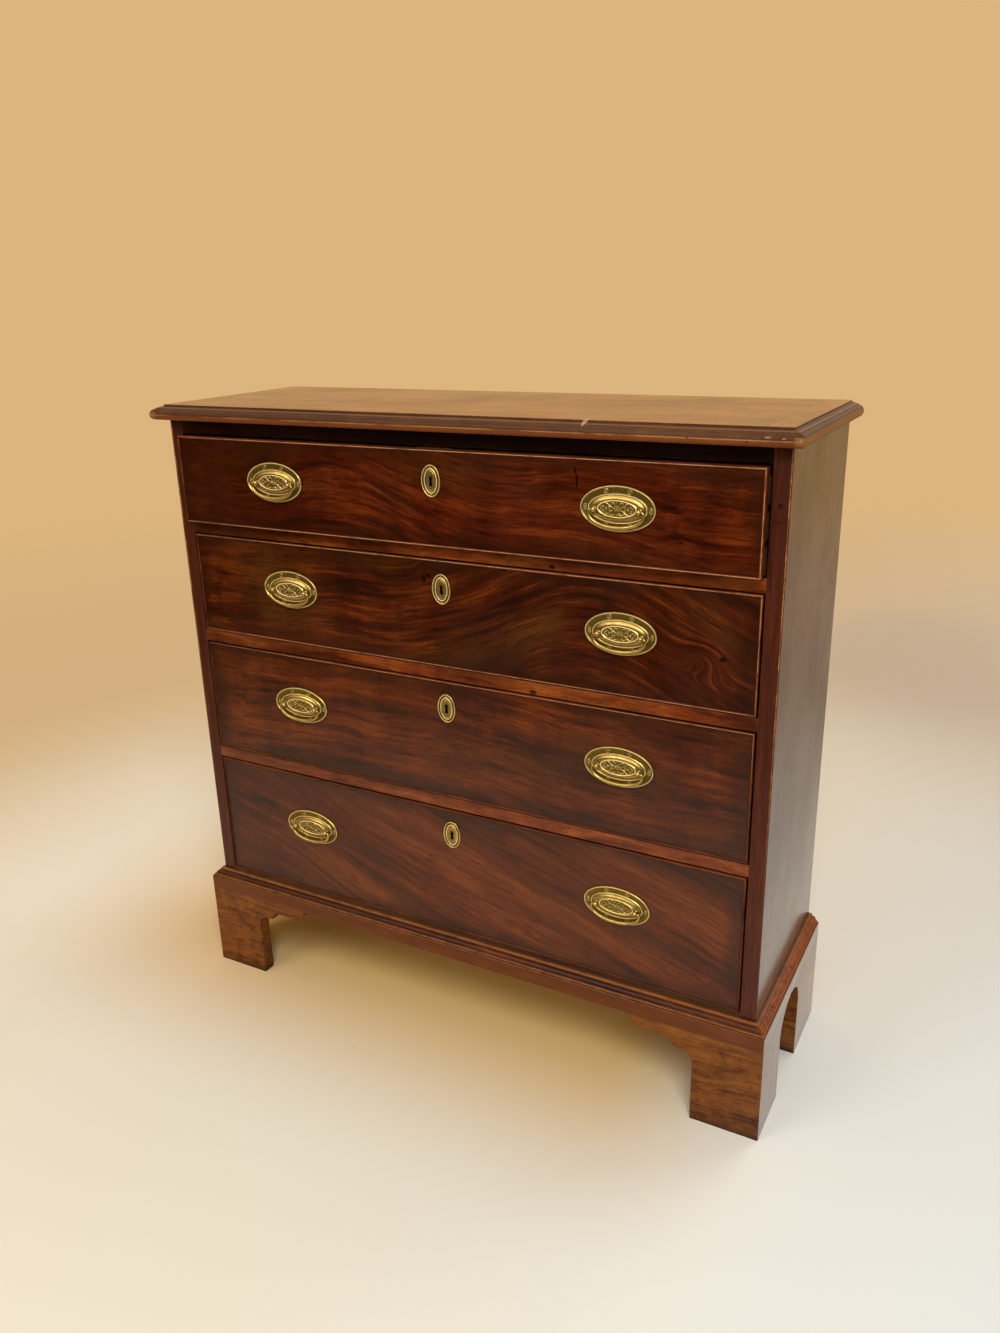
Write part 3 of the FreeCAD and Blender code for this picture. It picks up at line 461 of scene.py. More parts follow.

# The top: long boards between narrow cross-grained ends; its moulded edge is painted darker as shade, with painted
# highlights and glints
topLook = {
    "dark": colour(96, 56, 22), "middle": colour(140, 86, 38), "light": colour(166, 110, 56), "bandStretch": 0.08,
    "contrast": 1.4, "edge": 0.4, "edgeColour": colour(110, 62, 30), "nicks": 0.5, "coat": 0.4, "grimeAndShade": 0.4,
    "end": 0.392, "joint": (0.0009, 0.0002, 0.0, 0.8), "jointColour": colour(50, 26, 12),
    "longShift": (0, 5, 0), "endShift": (0.4, 3, 0), "shine": {"up": (0.8684, 0.8688, 0.15, 1.0)},
    "moulded": (0.8688, 0.8682, 0.0, 0.8), "worn": (0.858, 0.855), "upper": colour(46, 22, 12),
    "lower": colour(100, 49, 19),
    "rubbed": ((30.0, 5.0, 0.75), (0.6, 0.68, 0.0, 0.6)), "rubbedColour": colour(96, 62, 46),
    "bands": [(0.865, 0.8658, 0.5, colour(126, 96, 84)), (0.8604, 0.8646, 0.6, colour(52, 30, 16))],
    "endNose": (0.4225, 0.427), "endNoseTop": (0.861, 0.8602), "endNoseAmount": 0.55,
    "endNoseColour": colour(150, 102, 48),
    "goldHighlight": (0.8558, 0.8571, 1.0, colour(204, 148, 82)), "goldHighlightPatches": ((9.0, 4.0, 0.7), (0.42, 0.6, 0.0, 0.45)),
    "foot": (0.854, 0.8518, 0.0, 0.55), "footColour": colour(104, 44, 16),
    "holes": [(0.3152, 0.8571, 0.0014, 0.0014), (0.3774, 0.8547, 0.0014, 0.0014), (-0.31, 0.8565, 0.0012, 0.0012)],
    "chipsAndGlints": [(0.4308, 0.8575, 0.0014, 0.0018), (0.398, 0.86, 0.003, 0.0008), (0.414, 0.8592, 0.002, 0.0007)],
    "holeColour": colour(18, 8, 4), "chipAndGlintColour": colour(142, 116, 104),
    "scratch": (0.196, -0.128, 0.003, 0.012), "scratchSpan": (1.2, 0.4, 0.0, 0.6),
    "scratchColour": colour(206, 164, 132),
}


def topFigure(place, look):
    x, y, z = axesOf(place)
    ends = maths("GREATER_THAN", maths("ABSOLUTE", x), look["end"])
    long = stretched(place, shift=look["longShift"])
    turned = stretched(place, turn=acrossTurn, shift=look["endShift"])
    return addNode("Mix", {0: ends, 4: long, 5: turned}, data_type="VECTOR").outputs[1]


def topMarks(place, look, shown):
    x, y, z = axesOf(place)
    across = maths("ABSOLUTE", x)
    gap = maths("ABSOLUTE", minus(across, look["end"]))
    shown = cover(shown, look["jointColour"], ranged(gap, *look["joint"]))
    # Painted shade: the moulded edge is the same wood as the top, painted darker, deepest on its upper slope
    moulded = mixColour(ranged(z, *look["worn"]), look["upper"], look["lower"])
    moulded = cover(moulded, look["rubbedColour"], patches(place, *look["rubbed"]))
    # A pale painted highlight along its top, then painted shade on the slope
    moulded = addBands(z, moulded, look["bands"])
    onEnd = times(ranged(across, *look["endNose"]), look["endNoseAmount"])
    moulded = cover(moulded, look["endNoseColour"], onEnd, ranged(z, *look["endNoseTop"]))
    # Painted highlight: a golden line low on the nose, in patches
    moulded = addBands(z, moulded, [look["goldHighlight"]], patches(place, *look["goldHighlightPatches"]))
    moulded = cover(moulded, look["footColour"], ranged(z, *look["foot"]))
    moulded = addSpots(x, z, moulded, look["holes"], look["holeColour"])
    # Pale painted glints near the right corner
    moulded = addSpots(x, z, moulded, look["chipsAndGlints"], look["chipAndGlintColour"])
    shown = cover(shown, moulded, ranged(z, *look["moulded"]))
    return cover(shown, look["scratchColour"], ranged(spreadFrom(x, y, look["scratch"]), *look["scratchSpan"]))


setMaterial(woodMaterial("topMahogany", topFigure, topMarks, **topLook), "top")

# The ends shine more towards the floor; their stiles are redder and chipped, and the outer arris carries a pale line
# of rubbed wear and painted highlight
sideLook = {
    "turn": uprightTurn, "dark": colour(46, 22, 8), "middle": colour(74, 36, 14), "light": colour(98, 50, 22),
    "bandStretch": 0.06, "contrast": 1.2, "streaks": 1.0, "wander": 0.012, "ribbon": 0.3, "coat": 0.35, "bump": 0.3,
    "edge": 0.5, "edgeColour": colour(150, 100, 60),
    "shine": {"up": (0.55, 0.12, 1.0, 2.6), "out": (0.4195, 0.42, 0.2, 1.0)},
    "stile": (-0.1222, -0.1225), "stileAmount": 0.5, "stileColour": colour(68, 22, 2),
    "chipsAndGlints": [(0.4095, 0.789, 0.0024, 0.0032), (0.407, 0.772, 0.005, 0.0008)], "chipAndGlintColour": colour(30, 9, 3),
    "rubbed": ((45.0, 4.0, 0.7), (0.4, 0.6, 0.25, 0.9)), "rubbedUp": (0.3, 0.6, 0.1, 1.0),
    "arris": (0.4182, 0.4193), "arrisWearAndHighlight": colour(176, 118, 72),
    "gapOut": (0.4193, 0.4196), "gapIn": (-0.1212, -0.1217), "gapAmount": 0.8, "gapColour": colour(34, 16, 8),
    "knot": (-0.107, 0.775, 0.0035, 0.0035), "knotSpan": (1.0, 0.3, 0.0, 0.8), "knotColour": colour(40, 24, 14),
}


def sideMarks(place, look, shown):
    x, y, z = axesOf(place)
    across = maths("ABSOLUTE", x)
    front = ranged(y, *look["stile"])
    shown = cover(shown, look["stileColour"], front, look["stileAmount"])
    shown = addSpots(x, z, shown, look["chipsAndGlints"], look["chipAndGlintColour"])
    rubbed = times(patches(place, *look["rubbed"]), ranged(z, *look["rubbedUp"]))
    # Painted highlight, partly rubbed wear: a pale line along the outer arris, fading low down
    shown = cover(shown, look["arrisWearAndHighlight"], between(across, *look["arris"]), rubbed, front)
    gap = times(ranged(across, *look["gapOut"]), ranged(y, *look["gapIn"]))
    shown = cover(shown, look["gapColour"], gap, look["gapAmount"])
    return cover(shown, look["knotColour"], ranged(spreadFrom(y, z, look["knot"]), *look["knotSpan"]))


setMaterial(woodMaterial("sideMahogany", None, sideMarks, **sideLook), "side_left", "side_right")

# The rails carry painted shadow: the top one all along, under the top's overhang, the next ones at their left ends
railLook = {
    "shift": (0, 2, 0), "dark": colour(64, 26, 5), "middle": colour(110, 50, 13), "light": colour(140, 74, 28),
    "nicks": 1.0, "edge": 0.8,
    "top": (0.826, 0.831), "topAcross": (-0.4, 0.0, 0.8, 0.95), "overhangShadowColour": colour(20, 9, 4),
    "left": (-0.1, -0.34),
    "shades": [(0.694, 0.713, 0.7, colour(34, 14, 5)), (0.536, 0.555, 0.35, colour(34, 14, 5))], "shadeSoft": 0.002,
    "spots": [(0.1514, 0.7001, 0.004, 0.0024), (0.1244, 0.541, 0.0045, 0.003), (-0.2, 0.5455, 0.002, 0.0015)],
    "spotColour": colour(24, 9, 4),
}


def railMarks(place, look, shown):
    x, y, z = axesOf(place)
    # Painted shadow under the overhang of the top
    shown = cover(shown, look["overhangShadowColour"], ranged(z, *look["top"]), ranged(x, *look["topAcross"]))
    # Painted shadow at the left ends of the lower rails, under the drawers above
    shown = addBands(z, shown, look["shades"], ranged(x, *look["left"]), look["shadeSoft"])
    return addSpots(x, z, shown, look["spots"], look["spotColour"])


setMaterial(woodMaterial("railMahogany", None, railMarks, **railLook), "drawer_rails")

# The small beads carry a pale line of rubbed wear and painted highlight; on the returns the ovolo is worn bright
# orange, with dark specks
beadWearAndHighlight = colour(146, 90, 48)
baseShine = {"out": (0.434, 0.4345, 0.15, 1.0)}
mouldingLook = {
    "shift": (0, 7, 0), "dark": colour(34, 14, 4), "middle": colour(70, 30, 9), "light": colour(104, 50, 18),
    "nicks": 1.0, "edge": 1.0, "edgeColour": colour(178, 112, 62), "patchy": 0.2, "softEdge": 0.001, "coat": 0.9,
    "grimeAndShadeReach": 0.004, "grimeAndShade": 1.0, "shine": baseShine,
    "fascia": (0.1496, 0.149, 0.0, 0.55), "fasciaColour": colour(106, 58, 22),
    "lines": [
        (0.15, 0.1509, 0.6, beadWearAndHighlight), (0.1514, 0.1533, 0.9, beadWearAndHighlight), (0.1596, 0.1622, 0.9, beadWearAndHighlight),
    ],
    "rubbed": ((60.0, 4.0, 0.7), (0.32, 0.6, 0.4, 0.9)), "corner": (0.42, 0.12255),
    "ovolo": (0.1522, 0.1592), "specks": ((220.0, 3.0, 0.7), (0.42, 0.52)), "worn": 0.7,
    "wornColour": colour(154, 74, 24),
}
footLook = {
    "shift": (0, 9, 0), "dark": colour(56, 27, 8), "middle": colour(114, 66, 22), "light": colour(138, 84, 32),
    "bandScale": 80, "bandStretch": 0.8, "contrast": 1.1, "ribbon": 0.2, "pores": 0.5, "nicks": 1.0,
    "tint": colour(66, 33, 12), "tintAmount": 0.6, "edge": 0.5, "edgeColour": colour(60, 34, 18), "grimeAndShade": 0.9,
    "grimeAndShadeReach": 0.02, "roughness": (0.34, 0.5), "coat": 0.9, "bump": 0.25, "shine": baseShine,
}


def mouldingMarks(place, look, shown):
    x, y, z = axesOf(place)
    shown = cover(shown, look["fasciaColour"], ranged(z, *look["fascia"]))
    # Painted highlight, partly rubbed wear: pale lines along the small beads
    shown = addBands(z, shown, look["lines"], patches(place, *look["rubbed"]))
    cornerX, cornerY = look["corner"]
    outX = minus(maths("ABSOLUTE", x), cornerX)
    side = maths("GREATER_THAN", outX, minus(-cornerY, y))
    specks = times(side, patches(place, *look["specks"]))
    return cover(shown, look["wornColour"], between(z, *look["ovolo"]), specks, look["worn"])


mouldingWood = woodMaterial("mouldingMahogany", None, mouldingMarks, **mouldingLook)
setMaterial(woodMaterial("footMahogany", **footLook), "bracket_feet")

# Plain woods of the parts that seldom show
oak = {
    "dark": colour(120, 88, 56), "middle": colour(158, 122, 82), "light": colour(184, 148, 104), "coat": 0.0,
    "edgeColour": colour(196, 164, 122), "grimeAndShadeColour": colour(70, 50, 34), "roughness": (0.55, 0.7), "pores": 0.8,
}
pine = {
    "dark": colour(142, 104, 66), "middle": colour(176, 136, 90), "light": colour(200, 164, 116), "coat": 0.0,
    "edgeColour": colour(206, 176, 132), "grimeAndShadeColour": colour(84, 60, 40), "roughness": (0.6, 0.75), "pores": 0.0,
    "bandStretch": 0.06,
}
stained = {"dark": colour(30, 16, 7), "middle": colour(52, 28, 12), "light": colour(78, 46, 22), "edge": 0.2}
backLook = {
    "joints": (0.38333, 0.61667), "gap": 0.0006, "gapColour": colour(34, 22, 14),
    "boardAmount": 0.12, "boardColour": colour(120, 84, 50),
}
liningLook = {  # painted shade: dark just behind the front, where the sides show in the gap
    "outer": (0.3925, 0.3935), "front": (-0.094, -0.108), "amount": 0.93, "strip": colour(44, 22, 10),
}


def backMarks(place, look, shown):
    x, y, z = axesOf(place)
    for joint in look["joints"]:
        shown = cover(shown, look["gapColour"], between(z, joint - look["gap"], joint + look["gap"]))
        shown = cover(shown, look["boardColour"], maths("GREATER_THAN", z, joint), look["boardAmount"])
    return shown


def liningMarks(place, look, shown):
    x, y, z = axesOf(place)
    outer = ranged(maths("ABSOLUTE", x), *look["outer"])
    # Painted shade on the outer faces just behind the front
    return cover(shown, look["strip"], outer, ranged(y, *look["front"]), look["amount"])


liningWood = woodMaterial("liningOak", None, liningMarks, turn=acrossTurn, **oak, **liningLook)
backLiningWood = woodMaterial("backLiningOak", **oak)
for n in drawers:
    setMaterial(liningWood, f"drawer_{n}_sides")
    setMaterial(backLiningWood, f"drawer_{n}_back", f"drawer_{n}_bottom")
setMaterial(woodMaterial("backPine", None, backMarks, shift=(0, 3, 0), **pine, **backLook), "back_boards")
setMaterial(woodMaterial("plainPine", **pine), "dustboards", "foot_blocks", "drawer_stops")
setMaterial(woodMaterial("bottomPine", **{**pine, **stained}), "bottom_board")
setMaterial(liningWood, "drawer_runners")
print("woods set")

# Metals: what brass and iron have unless their own values say otherwise
metalDefaults = {
    "bright": colour(208, 174, 102), "stain": colour(158, 128, 54), "stained": 0.5,
    "tarnish": ((90.0, 4.0, 0.6), (0.35, 0.7)), "sunk": 5.0,
    "band": colour(108, 87, 28), "banded": 0.85, "bandRoughness": 0.18,
    "deep": colour(42, 29, 6), "deepRoughness": 0.2, "deepMetal": (0.6, 1.0, 1.0, 0.7),
    "crest": colour(250, 225, 166), "edge": 0.85, "rubbed": 0.9, "rubbedMetal": 0.6,
    "softEdge": 0.0004, "patchy": 0.1, "grimeAndShadeReach": 0.005, "roughness": (0.33, 0.46),
    "scratches": (900.0, 3.0), "bump": 0.1, "bumpDepth": 0.0001,
}


def metalMaterial(name, **changes):
    look = {**metalDefaults, **changes}
    material, shader, output, place = startMaterial(name)
    wear = useGroup(wearGroup, wearSockets, place, look)
    tarnish = patches(place, *look["tarnish"])
    mark = addNode("Attribute", attribute_name="band").outputs["Fac"]
    band, rubbed = (maths("MULTIPLY", mark, sign, clamp=True) for sign in (1.0, -1.0))
    shown = cover(look["bright"], look["stain"], tarnish, look["stained"])
    shown = cover(shown, look["stain"], maths("MULTIPLY", wear["Grime And Shade"], look["sunk"], clamp=True))
    shown = cover(shown, look["band"], band, look["banded"])
    shown = cover(shown, look["deep"], wear["Grime And Shade"])
    # Painted highlight, partly rubbed wear: pale crests on the edges and on the marked rims
    shown = cover(shown, look["crest"], wear["Edge"], look["edge"])
    shown = cover(shown, look["crest"], rubbed, look["rubbed"])
    rough = ranged(tarnish, 0.0, 1.0, *look["roughness"])
    rough = plus(rough, times(band, look["bandRoughness"]))
    metallic = times(rubbed, look["rubbedMetal"])
    setInputs(shader, {
        "Base Color": shown,
        "Roughness": plus(rough, times(wear["Grime And Shade"], look["deepRoughness"])),
        "Metallic": maths("SUBTRACT", ranged(wear["Grime And Shade"], *look["deepMetal"]), metallic, clamp=True),
        "Normal": addBump(noise(place, *look["scratches"]), wear, look),
    })
    return material


brass = metalMaterial("agedBrass")
lockBrass = metalMaterial(
    "lockBrass", bright=colour(176, 134, 70), crest=colour(190, 150, 84), deep=colour(60, 42, 20),
    roughness=(0.4, 0.6),
)
iron = metalMaterial(
    "boltIron", bright=colour(110, 104, 98), crest=colour(134, 128, 120), deep=colour(40, 34, 30),
    stain=colour(74, 58, 46),
)
for n in drawers:
    setMaterial(lockBrass, f"drawer_{n}_lock")
    setMaterial(iron, f"drawer_{n}_lock_bolt")
print("metals set")


# Ring stacks: an oval cap is pushed out and scaled ring by ring; ring is (half width, half height, stand)
def ringStack(name, rings, sides):
    width, height, stand = rings[0]
    bpy.ops.mesh.primitive_circle_add(vertices=sides, radius=1, fill_type="NGON", rotation=(radians(90), 0, 0))
    made = bpy.context.object
    made.name = name
    bpy.ops.object.transform_apply(location=False, rotation=True, scale=False)
    bpy.ops.object.mode_set(mode="EDIT")
    bpy.ops.mesh.select_all(action="SELECT")
    bpy.ops.transform.resize(value=(width, 1, height), center_override=(0, 0, 0))
    bpy.ops.transform.translate(value=(0, -stand, 0))
    for nextWidth, nextHeight, nextStand in rings[1:]:
        shift = {"value": (0, stand - nextStand, 0)}
        bpy.ops.mesh.extrude_region_move(TRANSFORM_OT_translate=shift)
        ratio = (nextWidth / width, 1, nextHeight / height)
        bpy.ops.transform.resize(value=ratio, center_override=(0, 0, 0))
        width, height, stand = nextWidth, nextHeight, nextStand
    bpy.ops.mesh.select_all(action="SELECT")
    bpy.ops.mesh.normals_make_consistent(inside=False)
    bpy.ops.object.mode_set(mode="OBJECT")
    return made


# Marks for the brass: 1 on the dull flat band, less on the ground of the relief, -1 on the crests, rubbed and with a
# painted highlight
def markBand(piece, look, near=0.01):
    marks = piece.data.attributes.new("band", "FLOAT", "FACE")
    fieldX, fieldZ, ground = look["field"]
    for face, mark in zip(piece.data.polygons, marks.data):
        x, y, z = face.center
        mark.value = float(abs(y + look["bandStand"]) < near)
        if any(abs(y + crest) < near for crest in look["crests"]):
            mark.value = -1.0
        if (x / fieldX) ** 2 + (z / fieldZ) ** 2 < 1.0:
            mark.value = ground


def selectOnly(piece, *others):
    bpy.ops.object.select_all(action="DESELECT")
    for one in (piece, *others):
        one.select_set(True)
    bpy.context.view_layer.objects.active = piece


def joinInto(base, others):
    selectOnly(base, *others)
    bpy.ops.object.join()
    return base


def copyOf(source, name, shift):
    twin = source.copy()
    twin.data = source.data.copy()
    twin.name = name
    bpy.context.scene.collection.objects.link(twin)
    twin.data.transform(Matrix.Translation(shift))
    return twin


beadFacets = {"segments": 14, "ring_count": 8}


def bead(place, radius, flat=0.6, stretch=1.0, turn=0.0):
    x, z, stand = place
    bpy.ops.mesh.primitive_uv_sphere_add(radius=radius, **beadFacets)
    made = bpy.context.object
    made.data.transform(Matrix.Diagonal((stretch, flat, 1, 1)))
    made.data.transform(Matrix.Rotation(turn, 4, "Y"))
    made.data.transform(Matrix.Translation((x, -stand, z)))
    return made


def wireAlong(name, points, sides, steps):
    bpy.ops.curve.primitive_bezier_curve_add()
    made = bpy.context.object
    made.name = name
    curve = made.data
    curve.dimensions = "3D"
    spline = curve.splines[0]
    spline.bezier_points.add(len(points) - len(spline.bezier_points))
    for point, (x, y, z, radius) in zip(spline.bezier_points, points):
        point.co = (x, y, z)
        point.radius = radius
        point.handle_left_type = point.handle_right_type = "AUTO"
    curve.bevel_depth = 1.0
    curve.bevel_resolution = sides
    curve.resolution_u = steps
    curve.use_fill_caps = True
    bpy.ops.object.convert(target="MESH")
    return bpy.context.object


def cutWith(base, cutter):
    hole = base.modifiers.new("hole", "BOOLEAN")
    hole.operation = "DIFFERENCE"
    hole.object = cutter
    selectOnly(base)
    bpy.ops.object.modifier_apply(modifier="hole")
    bpy.data.objects.remove(cutter)


def finishPiece(piece, angle, material=brass, size=mm):
    piece.data.transform(piece.matrix_world)
    piece.matrix_world = Matrix.Identity(4)
    piece.data.transform(Matrix.Scale(size, 4))
    selectOnly(piece)
    bpy.ops.object.mode_set(mode="EDIT")
    bpy.ops.mesh.select_all(action="SELECT")
    bpy.ops.mesh.normals_make_consistent(inside=False)
    bpy.ops.object.mode_set(mode="OBJECT")
    bpy.ops.object.shade_smooth_by_angle(angle=radians(angle))
    piece.data.materials.clear()
    piece.data.materials.append(material)
    return piece


# Handle plates, in millimetres from the middle of the plate's back
plate = {
    "sides": 96,
    "rings": [
        (44.4, 25.7, 0), (44.4, 25.7, 0.9), (44.1, 25.4, 1.5), (43.6, 24.9, 2.0), (43.0, 24.3, 2.0),
        (42.5, 23.8, 1.5), (42.1, 23.4, 1.0), (41.7, 23.1, 0.9), (35.3, 17.0, 0.9), (34.9, 16.6, 1.5),
        (34.3, 16.1, 1.9), (33.6, 15.5, 1.8), (33.1, 15.1, 1.3), (32.5, 14.7, 1.0), (31.8, 14.2, 1.1),
        (30.3, 13.3, 1.9), (28.5, 12.3, 2.6), (26.8, 11.4, 3.0), (25.3, 10.7, 3.1), (24.1, 10.2, 3.0),
        (23.5, 9.9, 3.4), (23.0, 9.6, 3.9), (22.4, 9.2, 4.05), (21.8, 8.8, 3.8), (21.3, 8.4, 3.3),
        (20.8, 8.0, 3.1), (10.0, 4.0, 3.2),
    ],
    "bandStand": 0.9,
    "crests": (2.0, 1.85, 3.975, 3.925),
    "field": (21.0, 8.2, 0.9),  # half sizes of the ground of the relief, and its mark
    "bandOval": (38.5, 20.0),
    "floretTurns": (69, 111, 249, 291),
    "floret": (2.5, 0.55),
    "floretBead": {"radius": 0.9},
    "bowTurns": (0, 180),
    "bow": (2.9, 1.5, 50),  # how far its wings rise, how far its loops reach, and their lean
    "bowKnot": {"radius": 1.3, "flat": 0.8},
    "bowWing": {"radius": 0.7, "flat": 0.8, "stretch": 2.4},
    "bowLoop": {"radius": 0.6, "flat": 0.8, "stretch": 1.9},
    "fieldStand": 3.2,
    "button": {"radius": 1.3, "flat": 0.9},
    "petals": (9, 3.3, 2.3),
    "petal": {"radius": 0.72, "flat": 0.8, "stretch": 1.7},
    "studRise": 6.9,
    "stud": {"radius": 0.9, "flat": 0.8},
    "stemFacets": (1, 5),
    "stems": [
        [
            (4.6, 1.2, 0.45), (7.6, 2.6, 0.65), (10.8, 5.4, 0.8), (14.4, 6.4, 0.75), (16.9, 5.0, 0.6),
            (16.4, 3.2, 0.5), (14.8, 3.4, 0.4),
        ],
        [(2.2, 4.1, 0.4), (3.4, 6.2, 0.6), (5.8, 7.0, 0.6), (7.3, 5.9, 0.5), (6.5, 4.8, 0.4)],
    ],
    "leafFlat": 0.7,
    "smooth": 40,
    "leaves": [
        (9.6, 0.0, 0.9, 2.2, 0), (12.9, 0.9, 0.6, 2.2, 18), (13.3, 0.0, 0.5, 1.6, 0), (9.2, 2.0, 0.6, 2.0, 38),
        (18.6, 1.0, 0.7, 2.0, -52), (18.9, 3.0, 0.5, 1.6, -30), (10.2, 7.1, 0.5, 2.0, 22),
        (16.4, 1.5, 0.55, 1.9, 12),
    ],
}


ringFacets = {"major_segments": 20, "minor_segments": 8}


def flatRing(x, z, stand, major, minor):
    bpy.ops.mesh.primitive_torus_add(
        major_radius=major, minor_radius=minor, location=(x, -stand, z), rotation=(radians(90), 0, 0), **ringFacets,
    )
    return bpy.context.object


def makePlate():
    base = ringStack("plateBase", plate["rings"], plate["sides"])
    markBand(base, plate)
    parts = []
    stand, (ovalX, ovalZ) = plate["bandStand"], plate["bandOval"]
    for turn in plate["floretTurns"]:
        x, z = ovalX * cos(radians(turn)), ovalZ * sin(radians(turn))
        parts += [flatRing(x, z, stand, *plate["floret"]), bead((x, z, stand), **plate["floretBead"])]
    rise, reach, lean = plate["bow"]
    for turn in plate["bowTurns"]:
        x = ovalX * cos(radians(turn))
        parts.append(bead((x, 0, stand), **plate["bowKnot"]))
        for sign in (-1, 1):
            parts.append(bead((x, rise * sign, stand), **plate["bowWing"]))
            for side in (-1, 1):
                middle = (x + reach * side, rise * sign / 2, stand)
                parts.append(bead(middle, turn=radians(lean) * side * sign, **plate["bowLoop"]))
    stand = plate["fieldStand"]
    parts.append(bead((0, 0, stand), **plate["button"]))
    petals, wide, tall = plate["petals"]
    for petal in range(petals):
        turn = 2 * pi * petal / petals + pi / 2
        parts.append(bead((wide * cos(turn), tall * sin(turn), stand), turn=-turn, **plate["petal"]))
    for signZ in (-1, 1):
        parts.append(bead((0, plate["studRise"] * signZ, stand), **plate["stud"]))
        for signX in (-1, 1):
            for path in plate["stems"]:
                points = [(x * signX, -stand, z * signZ, radius) for x, z, radius in path]
                parts.append(wireAlong("stem", points, *plate["stemFacets"]))
            for x, z, radius, stretch, turn in plate["leaves"]:
                lean = -radians(turn) * signX * signZ
                parts.append(bead((x * signX, z * signZ, stand), radius, plate["leafFlat"], stretch, lean))
    return finishPiece(joinInto(base, parts), plate["smooth"])


# Posts, in millimetres from the bail's pivot line; the head is bored for the bail's pin
post = {
    "sides": 28,
    "rings": [
        (2.2, 2.2, -31.3), (2.2, 2.2, 2.2), (3.2, 3.2, 3.0), (3.4, 3.4, 3.3), (3.0, 3.0, 3.8), (1.7, 1.7, 4.2),
        (1.7, 1.7, 4.6), (2.5, 2.5, 5.0), (3.0, 3.0, 5.8), (3.1, 3.1, 6.8), (2.9, 2.9, 7.9), (2.3, 2.3, 8.9),
        (1.3, 1.3, 9.6), (0.5, 0.5, 9.85),
    ],
    "stand": 6.8,
    "bore": (16, 1.2, 12),  # sides, radius and length
    "apart": 26.4,
    "smooth": 45,
}


def makePost():
    made = ringStack("post", post["rings"], post["sides"])
    sides, radius, length = post["bore"]
    bpy.ops.mesh.primitive_cylinder_add(
        vertices=sides, radius=radius, depth=length, location=(0, -post["stand"], 0), rotation=(0, radians(90), 0),
    )
    cutWith(made, bpy.context.object)
    return finishPiece(made, post["smooth"])


# Bail, in millimetres from the middle of its pivot line
bail = {
    "path": [
        (23.6, 0.0, 1.08), (29.0, 0.0, 1.12), (31.2, -0.7, 1.45), (31.9, -3.2, 1.6), (30.6, -7.8, 1.75),
        (26.4, -12.2, 1.9), (19.0, -15.7, 2.05), (9.6, -17.9, 2.15),
    ],
    "low": (0.0, -18.5, 2.2),
    "facets": (4, 6),
    "smooth": 60,
}


def makeBail():
    right = bail["path"]
    whole = right + [bail["low"]] + [(-x, z, radius) for x, z, radius in reversed(right)]
    wire = wireAlong("bail", [(x, 0, z, radius) for x, z, radius in whole], *bail["facets"])
    return finishPiece(wire, bail["smooth"])


# Escutcheon, in millimetres from the middle of its back
escutcheon = {
    "sides": 64,
    "rings": [
        (13.4, 19.6, 0), (13.4, 19.6, 0.7), (13.1, 19.3, 1.2), (12.5, 18.7, 1.5), (11.9, 18.1, 1.3),
        (11.4, 17.6, 0.9), (9.2, 15.4, 0.9), (8.9, 15.1, 1.3), (8.4, 14.6, 1.5), (7.9, 14.1, 1.3),
        (7.6, 13.8, 0.8), (6.4, 12.4, 0.9), (5.9, 11.9, 1.3), (5.4, 11.4, 1.1), (2.0, 4.0, 1.1),
    ],
    "bandStand": 0.9,
    "crests": (1.4,),
    "field": (5.45, 11.45, 0.6),
    "beads": 40,
    "beadRing": (12.4, 18.6, 1.35),
    "bead": {"radius": 0.62, "flat": 0.8},
    "pinRise": 16.4,
    "pin": {"radius": 0.9, "flat": 0.8},
    "keyhole": (24, 2.9, 3.4),  # sides, radius and rise of its round end
    "slot": (1.6, 2.7, 10.4),  # half widths above and below, and drop
    "cut": 8,
    "smooth": 35,
}


def makeEscutcheon():
    base = ringStack("escutcheonBase", escutcheon["rings"], escutcheon["sides"])
    sides, radius, rise = escutcheon["keyhole"]
    waist, foot, drop = escutcheon["slot"]
    cut = escutcheon["cut"]
    bpy.ops.mesh.primitive_cylinder_add(
        vertices=sides, radius=radius, depth=cut, location=(0, 0, rise), rotation=(radians(90), 0, 0),
    )
    lobe = bpy.context.object
    bpy.ops.mesh.primitive_cube_add(size=1, location=(0, 0, rise - drop / 2))
    slot = bpy.context.object
    for corner in slot.data.vertices:
        wide = waist if corner.co.z > 0 else foot
        corner.co = (wide if corner.co.x > 0 else -wide, corner.co.y * cut, corner.co.z * drop)
    cutWith(base, lobe)
    cutWith(base, slot)
    markBand(base, escutcheon)
    parts = []
    wide, tall, stand = escutcheon["beadRing"]
    for step in range(escutcheon["beads"]):
        turn = 2 * pi * step / escutcheon["beads"]
        parts.append(bead((wide * cos(turn), tall * sin(turn), stand), **escutcheon["bead"]))
    for sign in (-1, 1):
        parts.append(bead((0, escutcheon["pinRise"] * sign, escutcheon["bandStand"]), **escutcheon["pin"]))
    return finishPiece(joinInto(base, parts), escutcheon["smooth"])


